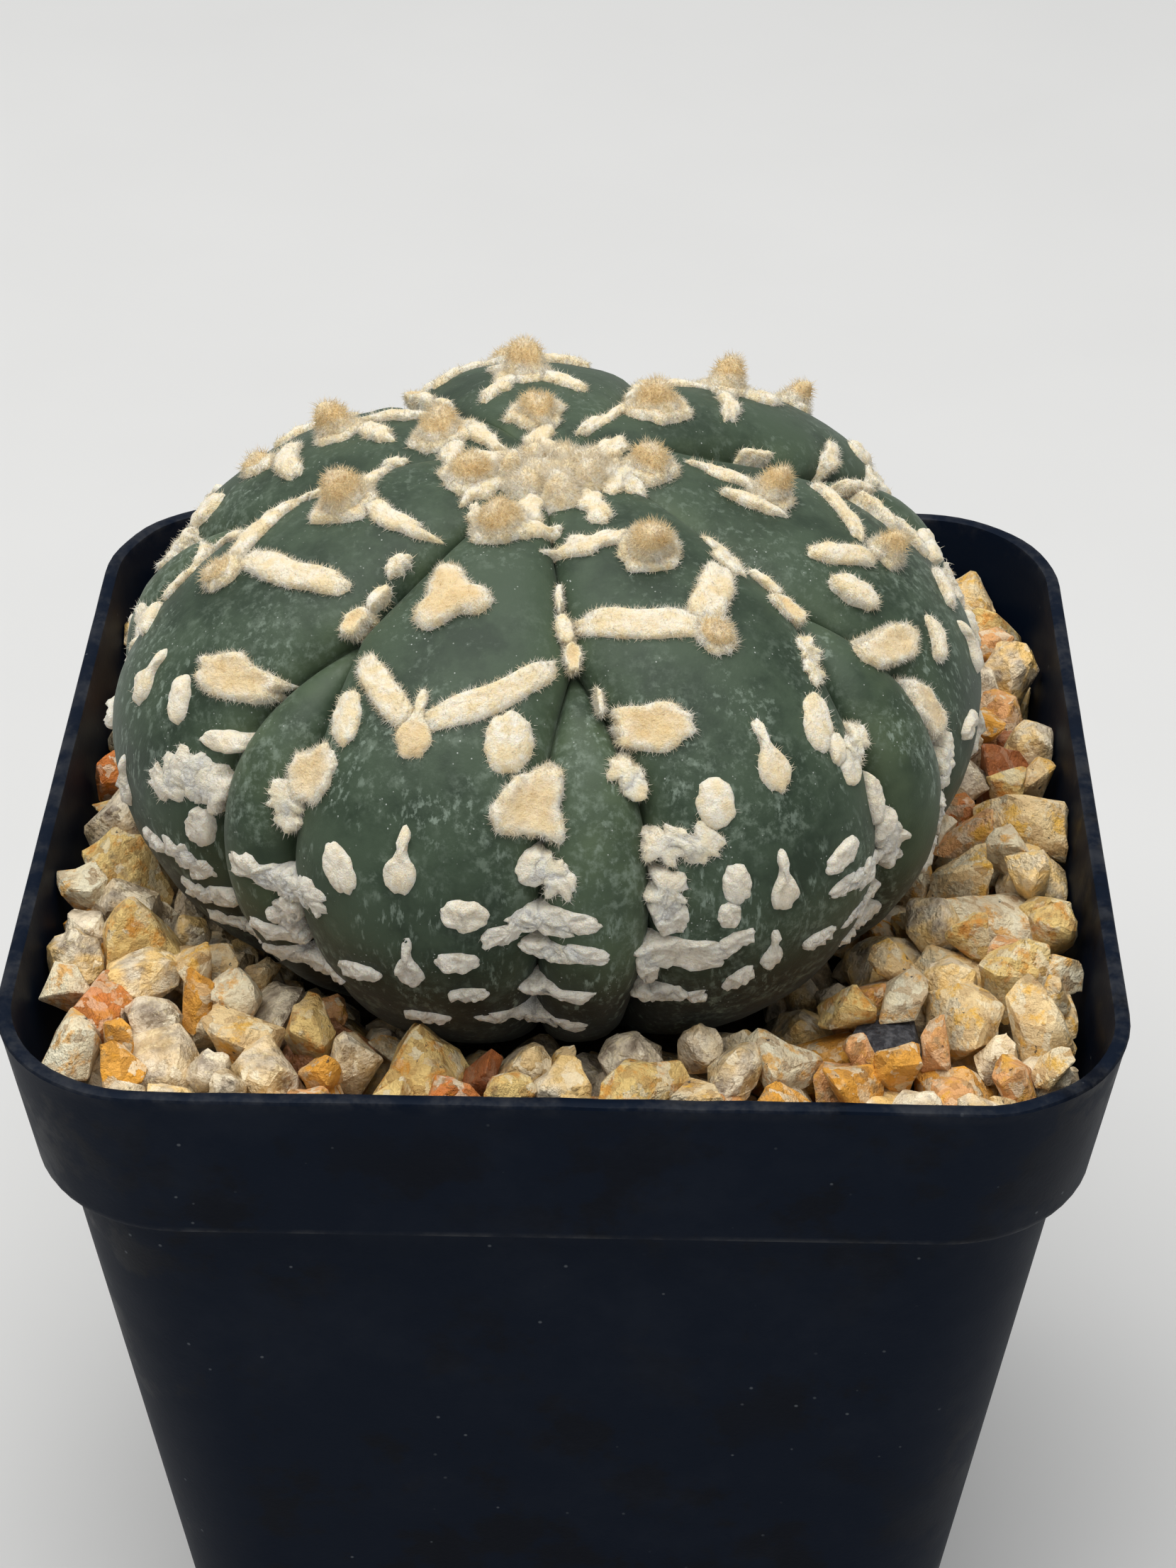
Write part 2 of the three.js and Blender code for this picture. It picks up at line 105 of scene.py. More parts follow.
class NodeTree:
    # The one method that adds a node: its type, its settings, then the values or links of its sockets.
    prefix = "ShaderNode"

    def node(self, kind, settings=None, sockets=None, output=0):
        whole = kind.startswith(("ShaderNode", "GeometryNode", "FunctionNode"))
        made = self.tree.nodes.new(kind if whole else self.prefix + kind)
        for key, value in (settings or {}).items():
            if key == "stops":
                for i, (at, color) in enumerate(value):
                    stop = made.color_ramp.elements[i] if i < 2 else made.color_ramp.elements.new(at)
                    stop.position = at
                    stop.color = color
            elif key == "steps":
                made.color_ramp.interpolation = value
            else:
                setattr(made, key, value)
        for key, value in (sockets or {}).items():
            connect(self.tree, value, made.inputs[key])
        return Signal(self.tree, made.outputs[output])


class Finish(NodeTree):
    # A material: the constants of its shader, then what varies over the surface.
    def __init__(self, name, constants):
        self.material = bpy.data.materials.new(name)
        self.material.use_nodes = True
        self.tree = self.material.node_tree
        self.shader = self.tree.nodes["Principled BSDF"]
        for socket, value in constants.items():
            self.shader.inputs[socket].default_value = value
        self.spot = self.node("TexCoord", output="Object")

    def feed(self, socket, value):
        connect(self.tree, value, self.shader.inputs[socket])

    def noise(self, size, detail=3.0, roughness=0.55, offset=0.0):
        # cloud about so many millimetres across
        shifted = self.node("VectorMath", {"operation": "ADD"}, {0: self.spot, 1: (offset, offset, offset)})
        sockets = {"Vector": shifted, "Scale": 1 / (size * mm), "Detail": detail, "Roughness": roughness}
        return self.node("TexNoise", None, sockets, "Fac")

    def cells(self, size):
        # distance from the middles of cells about so many millimetres across
        return self.node("TexVoronoi", None, {"Vector": self.spot, "Scale": 1 / (size * mm)}, "Distance")

    def attribute(self, name):
        return self.node("Attribute", {"attribute_name": name}, output="Fac")

    def mix(self, first, second, share):
        return self.node("Mix", {"data_type": "RGBA"}, {0: share, 6: first, 7: second}, 2)

    def bump(self, height, distance, strength=1.0):
        sockets = {"Height": height, "Distance": distance * mm, "Strength": strength}
        return self.node("Bump", None, sockets, "Normal")


class Recipe(NodeTree):
    # A geometry tree with named inputs.
    prefix = "GeometryNode"
    kinds = {"float": "NodeSocketFloat", "int": "NodeSocketInt", "material": "NodeSocketMaterial",
             "collection": "NodeSocketCollection", "geometry": "NodeSocketGeometry"}

    def __init__(self, name, inputs):
        self.tree = bpy.data.node_groups.new(name, "GeometryNodeTree")
        for socket, kind in {"Geometry": "geometry", **inputs}.items():
            self.tree.interface.new_socket(socket, in_out="INPUT", socket_type=self.kinds[kind])
        self.tree.interface.new_socket("Geometry", in_out="OUTPUT", socket_type="NodeSocketGeometry")
        self.entry = self.tree.nodes.new("NodeGroupInput")

    def input(self, name):
        return Signal(self.tree, self.entry.outputs[name])

    def attribute(self, name, kind="FLOAT"):
        return self.node("InputNamedAttribute", {"data_type": kind}, {"Name": name})

    def random(self, kind, low, high, seed):
        # each kind of value has sockets of its own
        first, output = (0, 0) if kind == "FLOAT_VECTOR" else (2, 1)
        sockets = {first: low, first + 1: high, "Seed": seed}
        return self.node("FunctionNodeRandomValue", {"data_type": kind}, sockets, output)

    def finish(self, shape, material):
        # every tree ends in real geometry with its material
        real = self.node("RealizeInstances", None, {"Geometry": shape})
        painted = self.node("SetMaterial", None, {"Geometry": real, "Material": material})
        end = self.tree.nodes.new("NodeGroupOutput")
        self.tree.links.new(painted.socket, end.inputs[0])

    def run(self, source, name, values):
        # the plain mesh that the tree makes of a source with these inputs
        modifier = source.modifiers.new(self.tree.name, "NODES")
        modifier.node_group = self.tree
        for item in self.tree.interface.items_tree:
            if item.in_out == "INPUT" and item.name in values:
                modifier[item.identifier] = values[item.name]
        graph = bpy.context.evaluated_depsgraph_get()
        mesh = bpy.data.meshes.new_from_object(source.evaluated_get(graph))
        source.modifiers.remove(modifier)
        return newPiece(name, mesh)


def newPiece(name, mesh):
    mesh.name = name
    piece = bpy.data.objects.new(name, mesh)
    bpy.context.scene.collection.objects.link(piece)
    return piece


def draw(n):
    # one fixed draw between 0 and 1 for each number
    value = np.sin(np.asarray(n, float) * 12.9898) * 43758.5453
    return value - np.floor(value)


def smoothStep(low, high, x):
    t = np.clip((x - low) / (high - low), 0, 1)
    return t * t * (3 - 2 * t)


def swells(points, size, seed):
    # smooth uneven swells about so many millimetres across, from -1 to 1
    total = np.zeros(points.shape[:-1])
    for k in range(5):
        way = draw(seed + np.arange(3) + 7.3 * k) - 0.5
        way = way / np.linalg.norm(way)
        pace = 2 * math.pi / size * (0.7 + 0.7 * draw(seed + 3.1 * k))
        total += np.sin(points @ way * pace + 6.28 * draw(seed + 5.7 * k))
    return total / 5 * 1.4


class Shapes:
    # Gathers many small grids of points in one mesh, with a few numbers for each point.
    def __init__(self, *marks):
        self.points = []
        self.faces = []
        self.marks = {name: [] for name in marks}
        self.count = 0

    def add(self, points, faces, **values):
        self.points.append(points)
        self.faces += [tuple(i + self.count for i in face) for face in faces]
        for name, value in values.items():
            self.marks[name].append(np.broadcast_to(value, len(points)))
        self.count += len(points)

    def mesh(self, name):
        mesh = bpy.data.meshes.new(name)
        mesh.from_pydata((np.concatenate(self.points) * mm).tolist(), [], self.faces)
        for mark, values in self.marks.items():
            layer = mesh.attributes.new(mark, "FLOAT", "POINT")
            layer.data.foreach_set("value", np.concatenate(values).astype(np.float32))
        mesh.shade_smooth()
        return mesh


def capRings(rings, columns):
    # faces for rings of points with a single point at the end
    faces = []
    for row in range(rings - 1):
        for i in range(columns):
            a, b = row * columns + i, row * columns + (i + 1) % columns
            faces.append((a, b, b + columns, a + columns))
    tip = rings * columns
    for i in range(columns):
        faces.append(((rings - 1) * columns + i, (rings - 1) * columns + (i + 1) % columns, tip))
    return faces


# Plant form: a spherical outline with seven ribs and a narrow second rib that opens in each groove.
plantForm = {
    "x": -1.2, "z": 77.6,   # middle of the body
    "radius": 29.3, "rise": 17.2, "drop": 21.0,
    "roundTop": 2.05, "roundFoot": 2.05,    # powers of the outline, where 2 is an ellipse
    "crownDip": 0.08, "crownWidth": 16.0,   # share of the rise, and degrees
    "grooveDepth": 3.6, "ribRoundness": 2.3,
    "secondDepth": 0.2,     # share of the groove's depth that an open second rib still lies at
    "openingLength": 24,    # degrees over which a second rib opens
    "lastPolar": 158.0,     # where the body ends and the root begins
    "tallest": 95.8,        # level that no tuft reaches above
}
# azimuth at polar 30, 60 and 90 degrees, where the second rib opens, and its half width
grooves = [
    {"at": (271, 276, 277), "opens": 56, "spread": 7.2},
    {"at": (328, 327, 327), "opens": 55, "spread": 7.4},
    {"at": (382, 382, 384), "opens": 56, "spread": 7.2},
    {"at": (425, 432, 434), "opens": 56, "spread": 7.0},
    {"at": (487, 484, 483), "opens": 56, "spread": 7.2},
    {"at": (535, 538, 537), "opens": 56, "spread": 7.0},
    {"at": (596, 590, 589), "opens": 57, "spread": 6.2},
]
# millimetres that each rib bulges beyond the outline
swellOfRib = (0.0, 0.0, -1.2, 0.4, 0.0, -0.8, 0.3)


def grooveAzimuth(groove, polar):
    t = (np.clip(polar, 15, 105) - 30) / 30
    a, b, c = groove["at"]
    return a + (b - a) * t + (c - 2 * b + a) * t * (t - 1) / 2


def opened(groove, polar):
    t = np.clip((polar - groove["opens"]) / plantForm["openingLength"], 0, 1)
    return 1 - (1 - t) ** 2


def depthAt(polar):
    return plantForm["grooveDepth"] * smoothStep(4, 62, polar) * (1 - 0.6 * smoothStep(104, 150, polar))


def ribRound(u):
    power = plantForm["ribRoundness"]
    return (1 - np.clip(np.abs(u), 0, 1) ** power) ** (1 / power)


def envelope(polar):
    across = np.abs(np.sin(np.radians(polar))) / plantForm["radius"]
    upper = np.asarray(polar) < 90
    along = np.abs(np.cos(np.radians(polar))) / np.where(upper, plantForm["rise"], plantForm["drop"])
    power = np.where(upper, plantForm["roundTop"], plantForm["roundFoot"])
    full = (across ** power + along ** power) ** (-1 / power)
    return full * (1 - plantForm["crownDip"] * np.exp(-((polar / plantForm["crownWidth"]) ** 2)))


def ribSpans(polar):
    # each rib's first and last azimuth at these polar angles, and how deep its middle and its creases lie
    depth = depthAt(polar)
    spans = []
    for i, groove in enumerate(grooves):
        after = grooves[(i + 1) % len(grooves)]
        line, nextLine = grooveAzimuth(groove, polar), grooveAzimuth(after, polar)
        half, nextHalf = opened(groove, polar) * groove["spread"], opened(after, polar) * after["spread"]
        turn = 360 if i == len(grooves) - 1 else 0
        swell = swellOfRib[(i + 1) % len(grooves)] * smoothStep(16, 40, polar)
        risen = (1 - plantForm["secondDepth"]) * opened(groove, polar)
        spans.append((line - half, line + half, depth * (1 - risen), depth))
        spans.append((line + half, nextLine + turn - nextHalf, -swell, depth))
    return spans


def sunkAt(polar, azimuth):
    polar, azimuth = np.broadcast_arrays(np.abs(np.asarray(polar, float)), np.asarray(azimuth, float))
    sunk = depthAt(polar)
    for first, last, middle, crease in ribSpans(polar):
        half = (last - first) / 2
        away = (azimuth - first - half + 180) % 360 - 180
        inside = (half > 0.01) & (np.abs(away) <= half)
        u = away / np.maximum(half, 0.01)
        sunk = np.where(inside, middle + (crease - middle) * (1 - ribRound(u)), sunk)
    return sunk


def place(polar, azimuth, distance):
    polar, azimuth = np.radians(polar), np.radians(azimuth)
    outward = np.sin(polar) * distance
    return np.stack([
        plantForm["x"] + outward * np.cos(azimuth),
        outward * np.sin(azimuth),
        plantForm["z"] + np.cos(polar) * distance,
    ], -1)


skinPlan = {
    "mainColumns": 24,
    "secondColumns": 10,
    "rows": 140, "footRows": 16, "footFrom": 112,
    "firstPolar": 1.5,
    "root": [(7.0, 56), (6.4, 49), (4.6, 41), (2.4, 34.5)],  # radius and level of the buried root
}
ribbedBody = {"Across": plantForm["x"], "Height": plantForm["z"], "Rib Depth": 1.0, "Unevenness": 0.22,
              "Swell Size": 6.0}


def skinRow(polar):
    # one ring of points, closest together in the creases
    azimuths, sunks, young = [], [], []
    for i, (first, last, middle, crease) in enumerate(ribSpans(polar)):
        columns = skinPlan["secondColumns"] if i % 2 == 0 else skinPlan["mainColumns"]
        u = np.sin((np.arange(columns) / columns - 0.5) * math.pi)
        azimuths.append(first + (last - first) / 2 * (1 + u))
        sunks.append(middle + (crease - middle) * (1 - ribRound(u)))
        young.append(np.full(columns, 0.75) if i % 2 == 0 else np.abs(u) ** 5)
    columns = sum(len(part) for part in azimuths)
    return np.stack([np.full(columns, polar), np.concatenate(azimuths), np.full(columns, envelope(polar)),
                     np.concatenate(sunks), np.concatenate(young)])


def makePlan():
    # the plain outline, whose points carry their angles, their reach and how far the ribs sink them
    polars = np.concatenate([
        np.linspace(plantForm["lastPolar"], skinPlan["footFrom"], skinPlan["footRows"], endpoint=False),
        np.linspace(skinPlan["footFrom"], skinPlan["firstPolar"], skinPlan["rows"] - skinPlan["footRows"]),
    ])
    rows = [skinRow(polar) for polar in polars]
    columns = rows[0].shape[1]
    azimuth = rows[0][1]
    for radius, z in skinPlan["root"]:
        fall = plantForm["z"] - z
        polar = np.full(columns, 180 - math.degrees(math.atan2(radius, fall)))
        level = np.full(columns, math.hypot(radius, fall))
        rows.insert(0, np.stack([polar, azimuth, level, 0 * level, 0 * level]))
    rootEnd = plantForm["z"] - skinPlan["root"][-1][1]
    tips = np.array([[0, 0, envelope(0.0), 0, 0], [180, 0, rootEnd, 0, 0]]).T
    polar, azimuth, reach, sunk, young = np.concatenate(rows + [tips], 1)
    faces = capRings(len(rows), columns)
    faces += [((i + 1) % columns, i, len(rows) * columns + 1) for i in range(columns)]
    body = Shapes("polar", "azimuth", "reach", "sunk", "young")
    body.add(place(polar, azimuth, reach), faces, polar=np.radians(polar), azimuth=np.radians(azimuth),
             reach=reach, sunk=sunk, young=young)
    return newPiece("ribPlan", body.mesh("ribPlan"))


def bodyRecipe():
    # puts every point of a plan at its angles and reach, less what the ribs sink there
    recipe = Recipe("ribbedBody", {**dict.fromkeys(ribbedBody, "float"), "Material": "material"})
    polar, azimuth, reach, sunk = (recipe.attribute(name) for name in ("polar", "azimuth", "reach", "sunk"))
    pace = recipe.input("Swell Size").math("DIVIDE", 1000.0, recipe.input("Swell Size"))
    cloud = recipe.node("ShaderNodeTexNoise", None, {"Scale": pace, "Detail": 2.0}, "Fac")
    reach = reach - sunk * recipe.input("Rib Depth") + (cloud - 0.5) * recipe.input("Unevenness") * 2
    outward = polar.math("SINE", polar) * reach
    spot = {"X": (recipe.input("Across") + outward * azimuth.math("COSINE", azimuth)) * mm,
            "Y": outward * azimuth.math("SINE", azimuth) * mm,
            "Z": (recipe.input("Height") + polar.math("COSINE", polar) * reach) * mm}
    moved = recipe.node("SetPosition", None, {"Geometry": recipe.input("Geometry"),
                                              "Position": recipe.node("ShaderNodeCombineXYZ", None, spot)})
    joined = recipe.node("MergeByDistance", None, {"Geometry": moved, "Distance": 0.004 * mm})
    recipe.finish(joined, recipe.input("Material"))
    return recipe


# foot is painted contact shade low down, near the grit
skinColors = {
    "dark": (0.013, 0.027, 0.013, 1), "plain": (0.036, 0.058, 0.033, 1), "young": (0.09, 0.125, 0.062, 1),
    "foot": (0.006, 0.004, 0.001, 1), "bloom": (0.17, 0.215, 0.165, 1), "streak": (0.22, 0.275, 0.22, 1),
    "dot": (0.45, 0.48, 0.44, 1),
}


def skinFinish():
    finish = Finish("cactusSkin", {"Specular IOR Level": 0.3, "Sheen Weight": 0.06, "Sheen Roughness": 0.5,
                                   "Sheen Tint": (0.8, 0.87, 0.8, 1)})
    color = finish.mix(skinColors["dark"], skinColors["plain"], finish.noise(6, 5, 0.65).between(0.36, 0.6))
    young = finish.attribute("young")
    color = finish.mix(color, skinColors["young"], young * finish.noise(5, 3).between(0.3, 0.8) * 0.7)
    # painted contact shade: darker towards the bottom, where it goes into the grit
    level = finish.node("SeparateXYZ", None, {"Vector": finish.spot}, "Z")
    color = finish.mix(color, skinColors["foot"], level.between(77 * mm, 70 * mm) * 0.94)
    # bloom and rubbed streaks, mostly on the sides
    side = level.between(93 * mm, 84 * mm) * 0.7 + 0.3
    mottle = finish.noise(0.75, 4, 0.7, 3.0).between(0.46, 0.7)
    bloom = mottle * finish.noise(7, 3, 0.55, 5.0).between(0.42, 0.62)
    color = finish.mix(color, skinColors["bloom"], bloom * side * 0.6)
    drawn = finish.node("VectorMath", {"operation": "MULTIPLY"}, {0: finish.spot, 1: (2200, 2200, 700)})
    sockets = {"Vector": drawn, "Scale": 1.0, "Detail": 4.0, "Roughness": 0.65}
    streaks = finish.node("TexNoise", None, sockets, "Fac").between(0.52, 0.66)
    rubbed = finish.noise(5, 4, 0.6, 7.0).between(0.44, 0.62)
    color = finish.mix(color, skinColors["streak"], streaks * rubbed * side * 0.65)
    # pale dots in loose groups
    dots = finish.cells(0.4).between(0.16, 0.07) * finish.noise(2.2, 3, 0.6, 9.0).between(0.5, 0.66)
    color = finish.mix(color, skinColors["dot"], dots * 0.75)
    finish.feed("Base Color", color)
    finish.feed("Roughness", 0.5 + 0.2 * finish.noise(3, 3))
    grain = finish.noise(0.5, 3, 0.6) + 0.7 * finish.noise(0.16, 2, 0.6)
    finish.feed("Normal", finish.bump(grain + dots, 0.04, 0.5))
    return finish.material


plan = makePlan()
cactusSkin = bodyRecipe().run(plan, "cactusSkin", {**ribbedBody, "Material": skinFinish()})
bpy.data.objects.remove(plan)
print("skin:", len(cactusSkin.data.polygons), "faces")

# Felt and wool on each rib: kind, polar angle, turn from the rib's azimuth, length, width, and direction,
# which is 0 down the rib and 90 across it.
ribMarks = [
    (250, [
        ("tuft", 28, 0, 3.4, 3.2, 0), ("bar", 28, 14, 3.6, 1.5, 105), ("bar", 27, -12, 3, 1.3, 60),
        ("heart", 46, -2, 5.0, 5.0, 0), ("bar", 62, -7, 5.9, 1.9, 60), ("bar", 60, 12, 8.4, 1.9, 122),
        ("drop", 65, 1, 4.2, 2.1, 5), ("oval", 67, -11, 3.5, 2.3, 20), ("oval", 66, 15, 3.9, 2.8, 5),
        ("fan", 75, -13, 4.4, 3.2, 150), ("wedge", 74, 18.5, 4.9, 4.5, 0), ("drop", 81, 3, 4, 2, 0),
        ("oval", 84, -5, 3.2, 2.1, 35), ("oval", 87, 11, 2.8, 2, 80), ("patch", 91, -12, 4.8, 2.1, 95),
        ("drop", 95, 4, 3.9, 1.8, 0), ("oval", 94, 10, 2.6, 1.5, 90), ("oval", 99, -3, 3.1, 1.4, 100),
        ("patch", 97, -15, 3.6, 1.8, 0), ("oval", 100, 11, 2.4, 1.2, 90), ("oval", 106, 5, 3, 1.2, 95),
    ]),
    (302, [
        ("tuft", 36, 0, 3.3, 3.1, 0), ("bar", 32, -17, 5.6, 1.6, 95), ("bar", 50, -12, 7.6, 2.2, 75),
        ("bar", 48, 7, 5.2, 2.3, -55), ("stub", 54, 1, 3, 2.3, 0), ("fan", 65, -15, 3.2, 4.6, 180),
        ("drop", 71, 0, 4.5, 2, 0), ("oval", 70, 10, 3.7, 2.3, -30), ("oval", 74, 11, 2, 1.4, -20),
        ("oval", 75, -9, 3.1, 2.2, -10), ("patch", 80, -14, 5, 2.2, 85), ("drop", 86, -2, 3.9, 1.8, 0),
        ("oval", 86, 7, 3, 1.5, 110), ("oval", 85, -8, 2.6, 1.7, 0), ("oval", 89, -9, 1.9, 1.4, 0),
        ("drop", 96, -3, 3.2, 1.5, 0), ("oval", 97, 4, 2.6, 1.2, 95), ("oval", 93, -8, 2.4, 1.3, 115),
        ("oval", 100, -7, 2.4, 1.3, 140),
    ]),
    (354, [
        ("tuft", 21, -3, 3.2, 3, 0), ("bar", 17, -22, 4.6, 2, 96), ("tuft", 44, 4, 2.7, 2.5, 0),
        ("bar", 36, 10, 5.6, 1.5, -8), ("bar", 41, -2, 4.4, 1.4, -5), ("tuft", 63, 1, 2.3, 2.1, 0),
        ("bar", 57, -7, 5.2, 1.7, 40), ("oval", 61, -14, 3.5, 2, 13), ("fan", 69, -19, 6.4, 2.4, 74),
        ("fan", 78, -20, 4.4, 2.2, 10), ("bar", 74, 6, 3.4, 1.3, -70), ("bar", 74, -8, 3.2, 1.2, -47),
        ("drop", 81, 1, 4, 1.9, 0), ("oval", 84, 10, 3, 1.7, 0), ("oval", 87, -9, 2.8, 1.5, 90),
        ("drop", 95, 1, 3.6, 1.7, 0), ("oval", 97, 9, 2.6, 1.3, 90),
    ]),
    (48, [
        ("tuft", 29, -2, 3.4, 3.1, 0), ("bar", 21, 13, 5.4, 1.5, -10), ("tuft", 50, 2, 3, 2.6, 0),
        ("bar", 54, -3, 3.4, 2, 0), ("bar", 43, -9, 4.4, 1.4, 60), ("bar", 44, 12, 4.6, 1.5, 115),
        ("tuft", 66, 1, 2.2, 2, 0), ("bar", 61, -20, 3, 1.5, 60), ("oval", 63, 15, 3.6, 2.2, 10),
        ("oval", 71, -12, 3.4, 2.1, 20), ("fan", 75, 17, 5, 2.4, 115), ("drop", 82, 1, 4, 1.9, 0),
        ("oval", 85, -9, 3, 1.7, 90), ("oval", 87, 9, 2.8, 1.6, 90), ("drop", 96, 1, 3.6, 1.7, 0),
    ]),
    (100, [
        ("tuft", 19, 2, 3.2, 3, 0), ("tuft", 40, 0, 3.4, 3, 0), ("bar", 35, 11, 4.8, 1.7, -50),
        ("bar", 35, -11, 4.8, 1.6, 50), ("bar", 44, 5, 3.4, 1.6, 10), ("bar", 58, -8, 5.6, 1.8, 60),
        ("bar", 58, 10, 6.4, 1.8, 118), ("stub", 62, 1, 3, 2.2, 0), ("oval", 69, -11, 3.5, 2.2, 15),
        ("oval", 68, 13, 3.7, 2.4, 5), ("drop", 78, 1, 4.1, 2, 0), ("fan", 78, 17, 5, 2.5, 110),
        ("oval", 86, -8, 3, 1.8, 40), ("drop", 92, 1, 3.7, 1.8, 0), ("oval", 90, 10, 2.7, 1.5, 90),
        ("oval", 97, -7, 2.6, 1.4, 95),
    ]),
    (151, [
        ("tuft", 27, 4, 3.6, 3.3, 0), ("bar", 18, 0, 5.2, 1.5, 155), ("bar", 22, 25, 5.4, 1.7, 105),
        ("tuft", 50, 0, 3, 2.7, 0), ("bar", 42, 2, 4.6, 1.7, 150), ("bar", 43, -10, 5.4, 1.4, 20),
        ("bar", 56, 10, 5.2, 1.8, 115), ("stub", 62, 8, 2.6, 2, 0), ("bar", 63, -9, 5, 1.7, 60),
        ("oval", 71, 13, 3.4, 2.2, 10), ("drop", 79, 1, 4, 2, 0), ("oval", 84, -10, 3, 1.8, 30),
        ("patch", 86, 15, 4.8, 2.2, 100), ("drop", 93, 1, 3.6, 1.8, 0), ("oval", 95, -9, 2.6, 1.3, 90),
    ]),
    (202, [
        ("tuft", 19, 6, 3.3, 3.1, 0), ("tuft", 41, -3, 3.4, 3.2, 0), ("bar", 37, 13, 6.4, 1.6, 100),
        ("bar", 36, -13, 3.4, 1.3, 60), ("stub", 61, -3, 2.7, 2.3, 0), ("bar", 54, 9, 8.2, 1.9, 112),
        ("drop", 76, 2, 3.9, 1.8, 0), ("oval", 75, 10, 3.1, 1.4, 25), ("oval", 74, -10, 2.8, 1.5, 70),
        ("bar", 69, -13, 3, 1.3, 10), ("fan", 69, 16, 5.6, 3, 100), ("oval", 77, 19, 3, 1.5, 105),
        ("patch", 84, 15, 5.6, 2.6, 105), ("drop", 91, 2, 3.6, 1.7, 0), ("oval", 88, -9, 2.8, 1.5, 90),
        ("oval", 96, 9, 2.6, 1.3, 90),
    ]),
]
# Felt in the creases beside each second rib, by groove: the same, but with an azimuth and no turn from it.
# A groove that the list leaves out takes the plain set, whose azimuths are turns from its own line.
creaseMarks = {
    0: [
        ("bar", 43, 273, 2.4, 0.6, 0), ("oval", 49, 274, 2.4, 1.1, 10), ("fan", 54, 275.5, 2.3, 1.1, 0),
        ("bar", 61, 279.5, 1.8, 0.4, 0), ("patch", 71, 282.5, 2.8, 1.8, 40),
        ("patch", 82, 271, 3.8, 2.6, 60), ("patch", 88.6, 270, 7.5, 1.9, 93), ("patch", 93, 273, 5.4, 1.5, 90),
        ("bow", 100.5, 272, 4.6, 1.3, 90), ("patch", 108, 269, 7.1, 1.5, 70),
        ("patch", 87, 285.8, 4.8, 2.3, 0), ("fan", 95, 287.5, 5.6, 2.5, 87),
        ("oval", 97, 283.5, 3.2, 1.4, 10), ("patch", 103, 286.8, 4.6, 1.6, 92),
    ],
    1: [
        ("patch", 43, 322.4, 3.4, 1.7, -23), ("bar", 51, 325, 2.6, 0.6, 0), ("fan", 56, 323, 3, 1.5, 14),
        ("patch", 63.5, 318.5, 3.6, 1.9, -30), ("patch", 76, 316, 4.3, 1.9, -51),
        ("oval", 83, 317.5, 3.4, 1.2, -6), ("patch", 90, 320, 4.6, 2.2, 17), ("patch", 91, 313, 6, 1.6, 82),
        ("patch", 97, 314.5, 4.4, 1.2, 92), ("patch", 86.4, 334.6, 3.6, 1.4, -30),
        ("patch", 93, 332, 4, 1.3, 12), ("patch", 103, 317, 5, 1.4, 88), ("patch", 101, 333, 4.4, 1.5, 80),
    ],
    2: [
        ("bar", 45, 22, 2.6, 0.7, 0), ("bar", 56.3, 3.8, 6.1, 1.2, -65), ("bow", 64.3, 11.6, 3.7, 1.3, -52),
        ("bow", 68.8, 9, 3.6, 1, -27), ("bow", 62, 17.8, 3.9, 1.0, 25), ("patch", 76, 15, 4, 1.8, 80),
        ("patch", 74, 31, 3.6, 2, 30), ("patch", 84, 16, 5, 2, 88), ("patch", 85, 32, 4.6, 2.2, 15),
        ("patch", 92, 17, 5.6, 1.8, 90), ("patch", 95, 31, 5, 2, 88), ("patch", 101, 24, 4.6, 1.5, 90),
    ],
    5: [
        ("bar", 34.6, 171.7, 2, 0.8, 0), ("patch", 46.4, 185.6, 2.3, 1, 0),
        ("bar", 54.4, 191.7, 5.8, 1.7, -142), ("bow", 61.3, 186.5, 4.2, 1, 149),
        ("bow", 67, 184, 3.8, 1, 87), ("patch", 75, 171, 4, 2, 70),
        ("patch", 80, 185, 4.2, 1.8, 90), ("patch", 86, 171, 5.4, 2, 92), ("patch", 89, 185, 4.6, 2.2, 10),
        ("patch", 94, 171, 5, 1.6, 90), ("patch", 98, 185, 5, 1.7, 88), ("patch", 103, 172, 4.4, 1.5, 90),
    ],
    6: [
        ("bar", 43.5, 227.7, 2, 1.2, 0), ("oval", 50, 229, 2.2, 0.8, 0), ("fan", 55, 229, 2.4, 1.3, 0),
        ("patch", 80.2, 233.9, 3, 2.3, 21), ("patch", 90.3, 235, 8, 2.2, 92),
        ("oval", 94.7, 235.8, 2.2, 1.7, 0), ("bar", 100, 233, 4, 1.4, 84), ("patch", 105, 236, 6.6, 1.7, 85),
        ("patch", 82.5, 219.5, 4.6, 3, 90), ("oval", 89.7, 219.9, 2.9, 1.6, 0),
        ("patch", 96, 217, 3.4, 2, 60), ("patch", 101.5, 219, 4.4, 1.7, 90), ("patch", 107, 222, 5, 1.5, 80),
    ],
}
plainCreaseMarks = [
    ("bar", 43, -1, 2.4, 0.7, 0), ("oval", 50, 0, 2.4, 1.1, 0), ("fan", 54, 0, 2.4, 1.2, 0),
    ("patch", 71, 6, 2.9, 1.9, 30), ("patch", 82, -6, 4, 2.4, 70), ("patch", 89, -7, 6.6, 1.9, 92),
    ("patch", 94, -6, 5, 1.6, 90), ("patch", 101, -5, 4.6, 1.5, 88), ("patch", 108, -6, 6, 1.5, 80),
    ("patch", 87, 9, 4.4, 2.2, 5), ("patch", 96, 9, 5.4, 2.1, 87), ("patch", 103, 9, 4.6, 1.7, 92),
]
# wool at the crown: one low tuft, with a ring of smaller lumps and one of felt arms round it
crownWool = {
    "size": 5.6, "height": 1.2, "ripeness": 0.3,
    "lumps": 7, "lumpRing": 2.5, "lumpRipeness": 0.45, "armRing": 4.3,
    "back": -2.0,           # millimetres behind the top, or in front of it below zero
}

